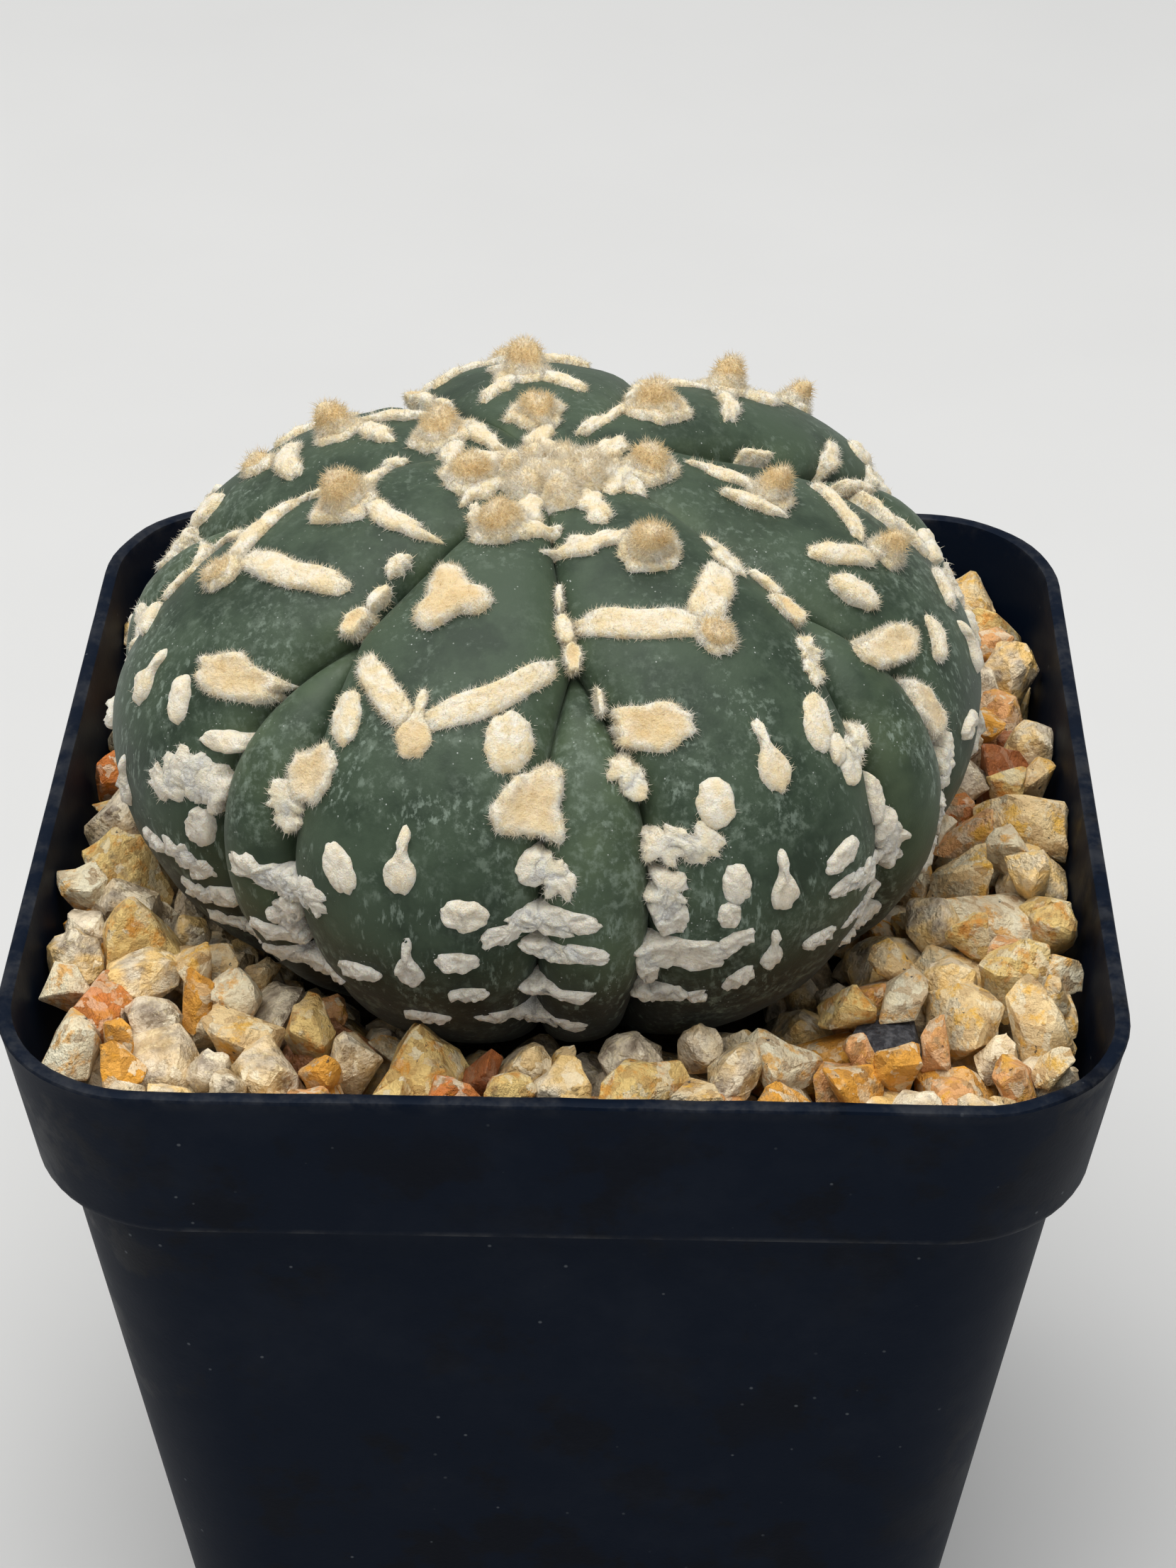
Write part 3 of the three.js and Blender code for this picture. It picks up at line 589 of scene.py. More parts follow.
# Outlines of the felt in half sizes, as along and across. Along grows down the rib, across to the right.
feltShapes = {
    "bar": [[(1, 0), (0.93, 0.62), (0.6, 0.98), (0.1, 0.9), (-0.4, 1.02), (-0.85, 0.75), (-1, 0),
             (-0.93, -0.65), (-0.5, -0.95), (0, -1.02), (0.5, -0.9), (0.9, -0.7)]],
    "arm": [[(1, 0.1), (0.7, 0.35), (0.35, 0.85), (0, 0.7), (-0.4, 1), (-0.75, 0.5), (-1, 0.15),
             (-0.8, -0.5), (-0.45, -0.75), (-0.1, -1), (0.3, -0.6), (0.62, -0.75)]],
    "drop": [[(1, 0), (0.88, 0.6), (0.52, 1), (0.14, 0.85), (-0.16, 0.44), (-0.44, 0.26), (-0.72, 0.38),
              (-0.94, 0.26), (-1.02, 0), (-0.94, -0.26), (-0.72, -0.38), (-0.44, -0.26), (-0.16, -0.44),
              (0.14, -0.85), (0.52, -1), (0.88, -0.6)]],
    "heart": [[(1.02, -0.3), (0.75, 0.05), (0.42, 0.3), (0.22, 0.8), (-0.12, 1.03), (-0.42, 0.72),
               (-0.48, 0.3), (-0.8, 0), (-1, -0.45), (-0.8, -0.95), (-0.3, -0.9), (0.15, -0.62),
               (0.6, -0.74)]],
    # a quarter round whose straight side lies along the crease
    "wedge": [[(-0.9, 0.85), (-0.95, 0.35), (-0.82, -0.25), (-0.47, -0.75), (0.05, -1), (0.5, -0.9),
               (0.7, -0.4), (0.72, 0.2), (0.92, 0.75), (0.6, 0.9), (0.1, 0.8), (-0.5, 0.88)]],
    "oval": [[(1, 0.05), (0.76, 0.68), (0.1, 1), (-0.68, 0.78), (-1, 0.05), (-0.76, -0.68), (-0.05, -1),
              (0.66, -0.78)]],
    "bow": [[(1, 0.1), (0.62, 0.85), (0.15, 0.6), (-0.12, 0.95), (-0.6, 0.85), (-1, -0.1), (-0.62, -0.8),
             (-0.1, -0.5), (0.2, -0.95), (0.66, -0.75)]],
    "fan": [
        [(0.8, 0.85), (0.1, 0.95), (-0.6, 0.85), (-0.95, 0.3), (-0.85, -0.4), (-0.4, -0.9), (0.2, -1),
         (0.75, -0.75), (1, -0.1)],
        [(0.8, 0.5), (0.2, 0.75), (-0.1, 1.05), (-0.5, 0.8), (-0.9, 0.3), (-0.95, -0.4), (-0.5, -0.95),
         (0.2, -1), (0.8, -0.6), (0.95, 0)],
    ],
}

feltPad = {
    "columns": 34,
    "thickness": 0.46,
    # by kind: how much thicker, how high in the middle, how ripe there, and how torn at the edge
    "thicker": {"fan": 1.25, "wedge": 1.2, "heart": 1.5},
    "peak": {"fan": 0.5, "wedge": 0.5, "heart": 1.5},
    "ripeMiddle": {"heart": 0.9, "fan": 1.0, "wedge": 0.95, "bar": 0.38, "arm": 0.3},
    "torn": {"bow": 0.1, "arm": 0.1, "fan": 0.05},
    "bridge": 1.35,         # how deep in a crease the felt still spans it
    # share of the outline, share of the thickness, and how far the skirt drops into the skin's creases
    "profile": [(1.06, -0.5, 1.0), (1.05, 0.08, 0.3), (1.0, 0.42, 0.0), (0.9, 0.76, 0.0), (0.68, 0.95, 0.0),
                (0.36, 1.04, 0.0)],
    # for each ring of the profile: how uneven it is, how far it ripens, and how hairy it is
    "uneven": [0, 0.3, 0.8, 1, 1, 1], "ripens": [0, 0, 0.1, 0.3, 0.8, 1.0],
    "dropRipens": [0.3, 0.5, 0.8, 1, 1, 1], "hairy": [0.25, 1.0, 1.0, 0.3, 0.08, 0.05],
}


def spotFrame(polar, azimuth):
    # the point on the plain outline, the way out, and millimetres per degree down and round
    step = 0.2
    here = place(polar, azimuth, envelope(polar))
    down = place(polar + step, azimuth, envelope(polar + step)) - here
    round = place(polar, azimuth + step, envelope(polar)) - here
    out = np.cross(down, round)
    return out / np.linalg.norm(out), np.linalg.norm(down) / step, np.linalg.norm(round) / step


def onPlant(polar, azimuth, down, round, height, skirt):
    # points so many millimetres down, round and out from a spot, over the ribbed surface
    out, perDown, perRound = spotFrame(polar, azimuth)
    polars, azimuths = polar + down / perDown, azimuth + round / perRound
    sunk = sunkAt(polars, azimuths)
    spanned = np.minimum(sunk, feltPad["bridge"])
    spanned = spanned + (sunk - spanned) * skirt
    return place(polars, azimuths, envelope(np.abs(polars)) - spanned) + out * np.asarray(height)[..., None]


def padOutline(kind, seed):
    # a closed smooth curve through the corners of a shape, evenly stepped and a little ragged
    choices = feltShapes[kind]
    corners = np.array(choices[int(draw(seed + 0.5) * len(choices))], float)
    if kind in ("oval", "bow") and draw(seed + 1.5) > 0.5:
        corners = corners[::-1] * (1, -1)
    x, y = corners.T
    if (x * np.roll(y, -1) - y * np.roll(x, -1)).sum() < 0:
        corners = corners[::-1]
    before, after, far = np.roll(corners, 1, 0), np.roll(corners, -1, 0), np.roll(corners, -2, 0)
    t = np.linspace(0, 1, 10, endpoint=False)[:, None, None]
    curve = corners + (after - before) * t / 2 + (2 * before - 5 * corners + 4 * after - far) * t ** 2 / 2
    curve = curve + (3 * corners - before - 3 * after + far) * t ** 3 / 2
    curve = curve.transpose(1, 0, 2).reshape(-1, 2)
    closed = np.concatenate([curve, curve[:1]])
    path = np.append(0, np.cumsum(np.linalg.norm(np.diff(closed, axis=0), axis=1)))
    steps = np.linspace(0, path[-1], feltPad["columns"], endpoint=False)
    along, across = np.interp(steps, path, closed[:, 0]), np.interp(steps, path, closed[:, 1])
    if kind in ("bar", "arm"):
        across = across + (draw(seed + 2.5) - 0.5) * 1.1 * (along ** 2 - 0.4)
    angle = np.arctan2(across, along)
    ragged = 1 + 0.03 * np.sin(7 * angle + seed) + 0.025 * np.sin(11 * angle + 2.3 * seed)
    torn = feltPad["torn"].get(kind, 0.02)
    ragged = ragged + torn * (np.sin(5 * angle + 1.7 * seed) + 0.6 * np.sin(9 * angle + 0.7 * seed))
    return along * ragged, across * ragged


def turned(along, across, length, width, turn):
    # half sizes to millimetres down and round, at a direction in degrees
    a, b = along * length / 2, across * width / 2
    cos, sin = math.cos(math.radians(turn)), math.sin(math.radians(turn))
    return a * cos - b * sin, a * sin + b * cos


def byRing(values, columns, tip):
    # one value for each ring of points, and one for the tip
    return np.append(np.repeat(values, columns), tip)


def addPad(shapes, kind, polar, azimuth, length, width, turn, seed, thickness=1.0):
    # one flat cushion of felt, with how tan, how old and how hairy each point is
    columns, profile = feltPad["columns"], feltPad["profile"]
    along, across = padOutline(kind, seed)
    thick = thickness * feltPad["thickness"] * (1 - 0.3 * smoothStep(78, 96, polar))
    thick = thick * (0.85 + 0.3 * draw(seed)) * feltPad["thicker"].get(kind, 1)
    points = []
    for share, height, skirt in profile:
        down, round = turned(along * share, across * share, length, width, turn)
        if kind in ("fan", "wedge") and share < 0.8:
            height = height * (0.35 + 0.65 * share)  # a hollow in the middle
        points.append(onPlant(polar, azimuth, down, round, np.full(columns, height * thick), skirt))
    zero = np.zeros(1)
    peak = feltPad["peak"].get(kind, 1.06)
    points.append(onPlant(polar, azimuth, zero, zero, np.full(1, thick * peak), 0.0))
    points = np.concatenate(points)
    old = smoothStep(74, 92, polar)
    rough = swells(points, 1.3, seed) * (0.1 + 0.06 * old)
    rough = rough + swells(points, 0.55, seed + 4) * (0.05 + 0.09 * old)
    lifted = byRing(feltPad["uneven"], columns, 1)
    points = points + spotFrame(polar, azimuth)[0] * (rough * lifted)[:, None]
    ripe = 1 - smoothStep(46, 84, polar)
    inner = byRing(feltPad["ripens"], columns, 1.0)
    share = feltPad["ripeMiddle"].get(kind, 0.2)
    if kind in ("fan", "wedge", "heart"):
        ripe = max(ripe, 0.65 - 0.65 * smoothStep(76, 86, polar))
    tan = share * inner * (0.3 + 0.7 * ripe)
    if kind == "drop":
        lower = np.append(np.tile(smoothStep(-0.35, 0.3, along), len(profile)), 0.6)
        tan = tan + 1.3 * lower * ripe * byRing(feltPad["dropRipens"], columns, 1.0)
    edge = byRing(feltPad["hairy"], columns, 0.05)
    age = smoothStep(66, 100, polar) * (0.6 + 0.4 * draw(seed + 2))
    bare = smoothStep(58, 78, polar) if kind in ("oval", "drop") else smoothStep(72, 92, polar)
    shapes.add(points, capRings(len(profile), columns), tan=tan, age=age, fuzz=edge * (1 - bare))


def addPatch(shapes, polar, azimuth, length, width, turn, seed):
    # a ragged patch is a few lobes of felt that lap over each other
    lobes = 2 if length < 3.6 else 3
    perDown, perRound = spotFrame(polar, azimuth)[1:]
    for i in range(lobes):
        along = ((i + 0.5) / lobes - 0.5) * 1.45 + 0.2 * (draw(seed + 3 * i) - 0.5)
        down, round = turned(along, 0.7 * (draw(seed + 3 * i + 1) - 0.5), length, width, turn)
        tilt = turn + 50 * (draw(seed + 3 * i + 2) - 0.5)
        kind = "bow" if draw(seed + 4 * i) > 0.35 else "oval"
        addPad(shapes, kind, polar + down / perDown, azimuth + round / perRound, length / lobes * 1.6,
               width * (0.75 + 0.4 * draw(seed + 5 * i)), tilt, seed + 0.37 * i, 0.75)


woolTuft = {
    "columns": 24,
    # share of the half size, and share of the height
    "profile": [(1.32, -0.25), (1.26, 0.06), (1.12, 0.2), (0.97, 0.38), (0.84, 0.58), (0.66, 0.78),
                (0.42, 0.93), (0.18, 1.0)],
}


def addTuft(shapes, polar, azimuth, length, width, height, seed, ripeness=1.0):
    # one cone of wool, which leans a little its own way
    columns, profile = woolTuft["columns"], woolTuft["profile"]
    height = min(height, plantForm["tallest"] - float(place(polar, azimuth, envelope(polar))[2]))
    angle = np.arange(columns) * 2 * math.pi / columns
    ragged = 1 + 0.09 * np.sin(2 * angle + 3 * seed) + 0.06 * np.sin(3 * angle + seed)
    lean = np.array([draw(seed + 5) - 0.3, draw(seed + 6) - 0.5]) * 0.7
    points = []
    for share, rise in profile:
        down = np.cos(angle) * ragged * share * length / 2 + lean[0] * max(rise, 0)
        round = np.sin(angle) * ragged * share * width / 2 + lean[1] * max(rise, 0)
        level = rise * height if rise > 0 else -0.5
        points.append(onPlant(polar, azimuth, down, round, np.full(columns, level), 0.0))
    points.append(onPlant(polar, azimuth, lean[:1], lean[1:], np.full(1, height * 1.01), 0.0))
    points = np.concatenate(points)
    uneven = swells(points, 2.2, seed) * 0.2 + swells(points, 1.0, seed + 3) * 0.1
    points = points + spotFrame(polar, azimuth)[0] * uneven[:, None]
    up = byRing([max(rise, 0) for _, rise in profile], columns, 1.0)
    tan = ripeness * (0.05 + 0.95 * smoothStep(0.25, 0.6, up)) * (1 - 0.45 * smoothStep(0.8, 1.0, up))
    shapes.add(points, capRings(len(profile), columns), tan=tan, age=0.0, fuzz=1.0)


felt = Shapes("tan", "age", "fuzz")
creased = Shapes("tan", "age", "fuzz")
wool = Shapes("tan", "age", "fuzz")


def addMark(shapes, kind, polar, azimuth, length, width, turn, seed):
    if kind == "bar" and polar < 46:
        kind = "arm"  # frayed high on the plant
    if kind == "tuft":
        addPad(shapes, "fan", polar, azimuth, length * 1.2, width * 1.2, 360 * draw(seed), seed)
        addTuft(wool, polar, azimuth, length * 0.8, width * 0.8, 1.25 + 0.36 * length, seed)
    elif kind == "stub":
        addPad(shapes, "oval", polar, azimuth, length * 1.05, width * 1.05, turn, seed)
        addTuft(wool, polar, azimuth, length * 0.8, width * 0.8, 1.0, seed, 0.85)
    elif kind == "patch":
        addPatch(shapes, polar, azimuth, length, width, turn, seed)
    else:
        addPad(shapes, kind, polar, azimuth, length, width, turn, seed)


seed = 1
for azimuth, marks in ribMarks:
    for kind, polar, offset, length, width, turn in marks:
        addMark(felt, kind, polar, azimuth + offset, length, width, turn, seed)
        seed += 10
for i, groove in enumerate(grooves):
    marks = creaseMarks.get(i)
    if marks is None:
        marks = [(kind, polar, grooveAzimuth(groove, polar) + offset * float(opened(groove, polar) > 0),
                  length * (0.85 + 0.3 * draw(polar + i)), width, turn + 16 * (draw(polar - i) - 0.5))
                 for kind, polar, offset, length, width, turn in plainCreaseMarks]
    for mark in marks:
        addMark(creased, *mark, seed)
        seed += 10


def crownSpot(right, back):
    # millimetres beside the middle of the crown's wool, which lies a little in front of the top
    perDegree = spotFrame(4, 0)[1]
    back += crownWool["back"]
    return math.hypot(right, back) / perDegree, math.degrees(math.atan2(back, right))


addTuft(wool, *crownSpot(0, 0), crownWool["size"], crownWool["size"], crownWool["height"], seed,
        crownWool["ripeness"])
for i in range(crownWool["lumps"]):
    angle = math.radians(i * 360 / crownWool["lumps"] + 25)
    size, height = 1.9 + 0.9 * draw(i + 70), 1.2 + 0.7 * draw(i + 90)
    spot = crownSpot(crownWool["lumpRing"] * math.cos(angle), crownWool["lumpRing"] * math.sin(angle))
    addTuft(wool, *spot, size, size, height, seed + i, crownWool["lumpRipeness"])
    angle += 0.4
    spot = crownSpot(crownWool["armRing"] * math.cos(angle), crownWool["armRing"] * math.sin(angle))
    addPad(felt, "arm", *spot, 4.2, 1.9, 40 * (draw(seed + i) - 0.5), seed + i)


feltColors = {"white": (0.9, 0.84, 0.7, 1), "cream": (0.84, 0.69, 0.42, 1), "tan": (0.8, 0.6, 0.31, 1),
              "gold": (0.7, 0.46, 0.18, 1)}
# the hairs are paler than what they grow from
hairColors = {"white": (0.98, 0.92, 0.77, 1), "cream": (0.96, 0.8, 0.5, 1), "tan": (0.96, 0.7, 0.31, 1),
              "gold": (0.88, 0.54, 0.16, 1)}
# a painted fibre shade, then the grey and the dirt of old felt
shadeAndWearColors = {"shade": (0.6, 0.45, 0.26, 1), "oldDark": (0.5, 0.44, 0.36, 1),
              "oldPale": (0.86, 0.81, 0.71, 1), "dirt": (0.17, 0.12, 0.075, 1)}


def feltFinish(name, colors):
    # white and cream on top, with a fine painted fibre shade, tan where it is ripe, grey and dirty where it is
    # old
    finish = Finish(name, {
        "Roughness": 0.92, "Specular IOR Level": 0.1,
        "Sheen Weight": 0.3, "Sheen Roughness": 0.6, "Sheen Tint": (1, 0.94, 0.8, 1),
        "Subsurface Weight": 0.35, "Subsurface Radius": (1, 0.75, 0.45), "Subsurface Scale": 0.5 * mm,
    })
    cloud = finish.noise(0.9, 4, 0.6).between(0.35, 0.65) * (1 - 0.85 * finish.attribute("age"))
    color = finish.mix(colors["white"], colors["cream"], cloud)
    # painted shadow between the fibres: a fine darker mottle
    shade = finish.noise(0.24, 3, 0.7, 3.0).between(0.5, 0.72)
    color = finish.mix(color, shadeAndWearColors["shade"], shade * 0.3)
    grey = finish.noise(0.6, 4, 0.7, 2.0).between(0.3, 0.52)
    old = finish.mix(shadeAndWearColors["oldDark"], shadeAndWearColors["oldPale"], grey)
    color = finish.mix(color, old, finish.attribute("age") * 0.9)
    ripe = finish.mix(colors["tan"], colors["gold"], finish.noise(1.3, 4, 0.7, 4.0).between(0.42, 0.75))
    color = finish.mix(color, ripe, finish.attribute("tan").between(0.1, 1.05))
    dirt = finish.noise(1.2, 5, 0.75, 7.0).between(0.56, 0.7) * finish.attribute("age")
    color = finish.mix(color, shadeAndWearColors["dirt"], dirt * 0.75)
    finish.feed("Base Color", color)
    fibre = finish.noise(0.2, 4, 0.75) + finish.noise(0.5, 4, 0.7) * (1 + finish.attribute("age"))
    finish.feed("Normal", finish.bump(fibre, 0.26, 1.0))
    return finish.material


ribFelt = newPiece("ribFelt", felt.mesh("ribFelt"))
creaseFelt = newPiece("creaseFelt", creased.mesh("creaseFelt"))
areoleWool = newPiece("areoleWool", wool.mesh("areoleWool"))
feltMaterial = feltFinish("feltCream", feltColors)
hairMaterial = feltFinish("hairCream", hairColors)
for piece in (ribFelt, creaseFelt, areoleWool):
    piece.data.materials.append(feltMaterial)
    print(piece.name + ":", len(piece.data.polygons), "faces")

# hairs per square millimetre, and their length, thickness and lean
feltHair = {"Density": 80.0, "Length": 0.4, "Thickness": 0.02, "Lean": 1.0, "Seed": 4}
woolHair = {"Density": 62.0, "Length": 0.6, "Thickness": 0.02, "Lean": 0.9, "Seed": 9}


def hairRecipe(name):
    # spreads fine tapering hairs over a surface, standing off it and leaning at random
    recipe = Recipe(name, {"Density": "float", "Length": "float", "Thickness": "float", "Lean": "float",
                           "Seed": "int", "Material": "material"})
    fuzz = recipe.attribute("fuzz")
    spread = recipe.tree.nodes.new("GeometryNodeDistributePointsOnFaces")
    connect(recipe.tree, recipe.input("Geometry"), spread.inputs["Mesh"])
    connect(recipe.tree, recipe.input("Density") * fuzz * 1e6, spread.inputs["Density"])
    connect(recipe.tree, recipe.input("Seed"), spread.inputs["Seed"])
    points = Signal(recipe.tree, spread.outputs["Points"])
    facing = Signal(recipe.tree, spread.outputs["Rotation"])
    sockets = {"Vertices": 3, "Radius Top": 0.0, "Radius Bottom": recipe.input("Thickness") * mm,
               "Depth": recipe.input("Length") * mm}
    hair = recipe.node("MeshCone", {"fill_type": "NGON"}, sockets)
    lean = recipe.input("Lean")
    sides = recipe.node("ShaderNodeCombineXYZ", None, {"X": lean, "Y": lean, "Z": 3.1})
    minus = recipe.node("ShaderNodeVectorMath", {"operation": "SCALE"}, {0: sides, "Scale": -1.0})
    tilt = recipe.random("FLOAT_VECTOR", minus, sides, recipe.input("Seed") + 1)
    turn = recipe.node("FunctionNodeRotateRotation", {"rotation_space": "LOCAL"},
                       {"Rotation": facing, "Rotate By": tilt})
    size = recipe.random("FLOAT", 0.45, 1.25, recipe.input("Seed") + 2)
    planted = recipe.node("InstanceOnPoints", None,
                          {"Points": points, "Instance": hair, "Rotation": turn, "Scale": size})
    recipe.finish(planted, recipe.input("Material"))
    return recipe


hairs = hairRecipe("fineHairs")
ribFuzz = hairs.run(ribFelt, "ribFuzz", {**feltHair, "Material": hairMaterial})
creaseFuzz = hairs.run(creaseFelt, "creaseFuzz", {**feltHair, "Material": hairMaterial})
woolFuzz = hairs.run(areoleWool, "woolFuzz", {**woolHair, "Material": hairMaterial})
for piece in (ribFuzz, creaseFuzz, woolFuzz):
    print(piece.name + ":", len(piece.data.polygons), "faces")

for piece in (cactusSkin, ribFelt, creaseFelt, areoleWool, ribFuzz, creaseFuzz, woolFuzz):
    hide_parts("cactus")
    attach(piece, "root")

# The pot's sizes in millimetres. A half is from the middle to a flat side.
potForm = {
    "height": 70.0, "rimHalf": 35.0, "rimCorner": 10.0,
    "collarHeight": 12.0, "collarFootHalf": 33.55,
    "bodyTopHalf": 32.1, "floorHalf": 25.0, "floorCorner": 7.5,
    "wall": 1.0, "floor": 1.6, "drainRadius": 3.5, "drainOffset": 15.0,
    "edgeRound": 0.3, "cornerSteps": 14, "sideSteps": 18,
    "ragged": 0.16,         # how far the lip is worn down in places
}


def potSection(z):
    # half width and corner radius at a level
    foot = potForm["height"] - potForm["collarHeight"]
    if z > foot:
        share = (z - foot) / potForm["collarHeight"]
        return potForm["collarFootHalf"] + (potForm["rimHalf"] - potForm["collarFootHalf"]) * share, \
            potForm["rimCorner"]
    share = z / foot
    half = potForm["floorHalf"] + (potForm["bodyTopHalf"] - potForm["floorHalf"]) * share
    return half, potForm["floorCorner"] + (potForm["rimCorner"] - 1 - potForm["floorCorner"]) * share


def potRing(z, inset, lift):
    # one rounded square of points, so far inside the outer wall
    half, corner = potSection(z)
    half, corner = half - inset, corner - inset
    signs = ((1, 1), (-1, 1), (-1, -1), (1, -1))
    points = []
    for side, (sx, sy) in enumerate(signs):
        for step in range(potForm["cornerSteps"] + 1):
            angle = (side + step / potForm["cornerSteps"]) * math.pi / 2
            points.append((sx * (half - corner) + corner * math.cos(angle),
                           sy * (half - corner) + corner * math.sin(angle)))
        last = np.array(points[-1])
        aheadX, aheadY = signs[(side + 1) % 4]
        goal = np.array((aheadX * (half - corner) + corner * math.cos(angle),
                         aheadY * (half - corner) + corner * math.sin(angle)))
        for step in range(1, potForm["sideSteps"]):
            points.append(last + (goal - last) * step / potForm["sideSteps"])
    ring = np.array(points)
    return np.column_stack([ring, np.full(len(ring), z + lift)])


def makePot():
    top, foot, r = potForm["height"], potForm["height"] - potForm["collarHeight"], potForm["edgeRound"]
    wall, ledge = potForm["wall"], foot + 0.02
    # each ring: height, inset from the outer wall, lift, and how much pale wear and painted edge highlight the
    # plastic gets there
    rows = [(0, 1.2, 0, 0), (0, 0.4, 0.12, 0.3), (0, 0.05, 0.6, 0.2)]
    rows += [(z, 0, 0, 0) for z in np.linspace(3, foot - 2, 12)]
    rows += [(foot - 0.6, 0, 0, 0), (foot, -0.15, 0, 0), (ledge, 0.5, 0, 0), (ledge, r, 0, 0.7),
             (ledge, 0.06, 0.08, 1), (foot + 0.35, 0, 0, 0.5), (foot + 0.6, 0, 0, 0)]
    rows += [(z, 0, 0, 0) for z in np.linspace(foot + 1.5, top - 1.2, 6)]
    rows += [(top, 0, -r, 0.3), (top, 0.08, -0.08, 0.8), (top, r, 0, 0.6), (top, wall - r, 0, 0.5),
             (top, wall - 0.06, -0.1, 0.8), (top, wall, -r - 0.1, 0.3)]
    rows += [(z, wall, 0, 0) for z in np.linspace(top - 1.5, foot + 0.8, 5)]
    rows += [(z, wall, 0, 0) for z in np.linspace(foot - 0.6, potForm["floor"] + 1, 6)]
    rows += [(potForm["floor"], wall + 0.6, 0, 0)]
    rings = [potRing(z, inset, lift) for z, inset, lift, _ in rows]
    columns = len(rings[0])
    points = np.concatenate(rings)
    nearLip = smoothStep(top - 0.5, top - 0.1, points[:, 2])
    points[:, 2] -= nearLip * potForm["ragged"] * (0.5 + 0.5 * swells(points, 5, 21))
    points = np.concatenate([points, [[0, 0, potForm["floor"]], [0, 0, 0]]])
    faces = capRings(len(rings), columns)
    faces += [((i + 1) % columns, i, len(rings) * columns + 1) for i in range(columns)]
    pot = Shapes("worn")
    pot.add(points, faces, worn=np.append(np.repeat([row[3] for row in rows], columns), [0, 0]))
    shell = newPiece("potShell", pot.mesh("potShell"))
    drills = bmesh.new()
    for x in (-1, 1):
        for y in (-1, 1):
            spot = Matrix.Translation(Vector((x, y, 0)) * potForm["drainOffset"] * mm)
            bmesh.ops.create_cone(drills, cap_ends=True, segments=40, radius1=potForm["drainRadius"] * mm,
                                  radius2=potForm["drainRadius"] * mm, depth=8 * mm, matrix=spot)
    drillMesh = bpy.data.meshes.new("drills")
    drills.to_mesh(drillMesh)
    drills.free()
    drill = newPiece("drills", drillMesh)
    cut = shell.modifiers.new("drain", "BOOLEAN")
    cut.object, cut.operation, cut.solver = drill, "DIFFERENCE", "EXACT"
    graph = bpy.context.evaluated_depsgraph_get()
    mesh = bpy.data.meshes.new_from_object(shell.evaluated_get(graph))
    bpy.data.objects.remove(shell)
    bpy.data.objects.remove(drill)
    mesh.shade_smooth()
    mesh.set_sharp_from_angle(angle=math.radians(32))
    return newPiece("potShell", mesh)


potColors = {"plain": (0.0018, 0.0045, 0.0115, 1), "wet": (0.0008, 0.0018, 0.005, 1),
             "film": (0.0065, 0.0095, 0.017, 1), "dust": (0.1, 0.11, 0.12, 1),
             "worn": (0.075, 0.075, 0.075, 1)}


def potFinish():
    finish = Finish("blackPlastic", {"Specular IOR Level": 0.06, "Specular Tint": (0.8, 0.9, 1, 1)})
    wet = finish.noise(7, 5, 0.65).between(0.5, 0.6) * finish.noise(24, 2, 0.5, 1.0).between(0.4, 0.6)
    color = finish.mix(potColors["plain"], potColors["wet"], wet)
    film = finish.noise(14, 5, 0.7, 6.0).between(0.45, 0.75)
    color = finish.mix(color, potColors["film"], film * 0.7)
    dust = finish.cells(1.7).between(0.09, 0.04) * finish.noise(6, 2, 0.5, 4.0).between(0.5, 0.6)
    color = finish.mix(color, potColors["dust"], dust * 0.6)
    # pale lines at the edges: real wear at the lip, and a painted highlight along the lip and the collar's
    # step
    worn = finish.attribute("worn") * finish.noise(5, 5, 0.75).between(0.42, 0.66)
    color = finish.mix(color, potColors["worn"], worn * 0.4)
    finish.feed("Base Color", color)
    finish.feed("Roughness", 0.5 - 0.12 * wet + 0.1 * finish.noise(3, 4))
    grain = finish.noise(0.3, 3, 0.6) + 0.5 * finish.noise(2.2, 3)
    finish.feed("Normal", finish.bump(grain, 0.025, 0.5))
    return finish.material


potShell = makePot()
potShell.data.materials.append(potFinish())
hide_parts("pot")
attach(potShell, "root")
print("pot:", len(potShell.data.polygons), "faces")

# The grit: sizes are half sizes, in millimetres.
gritStones = {
    "granites": 10, "quartzes": 5,          # different shapes of each kind
    "corners": 14, "chip": 0.14,
    "largest": 3.9, "smallest": 1.2,
    "count": 1100,          # stones dropped, of which those that find room stay
    "quartzShare": 0.3,
    "tries": 90,            # places looked at for each stone, which takes the lowest
    "closeness": 0.8,       # share of two stones' radii at which they meet
    "bed": 60.0,            # lowest level of the stones
    "top": 68.6, "backDrop": 0.9, "waves": 0.5,     # highest crests, lower at the back, and uneven
    "buried": 63,           # level under which a stone is hidden
    "plantRoom": 0.7,       # gap left to the plant
    "seed": 12,
    # stones of a special colour: where each lies, and its tone
    "marked": [(22.1, -23.7, 0.995), (27.7, -17.5, 0.995), (-6.7, -28, 0.975), (28.7, 5.6, 0.975),
               (29.1, 10, 0.6), (30.2, -15, 0.25), (26.7, -19, 0.75)],
    "wallLevel": 61,        # level at which the room inside the walls is measured
    "wallGap": 0.05, "wallSlope": 0.12,
}


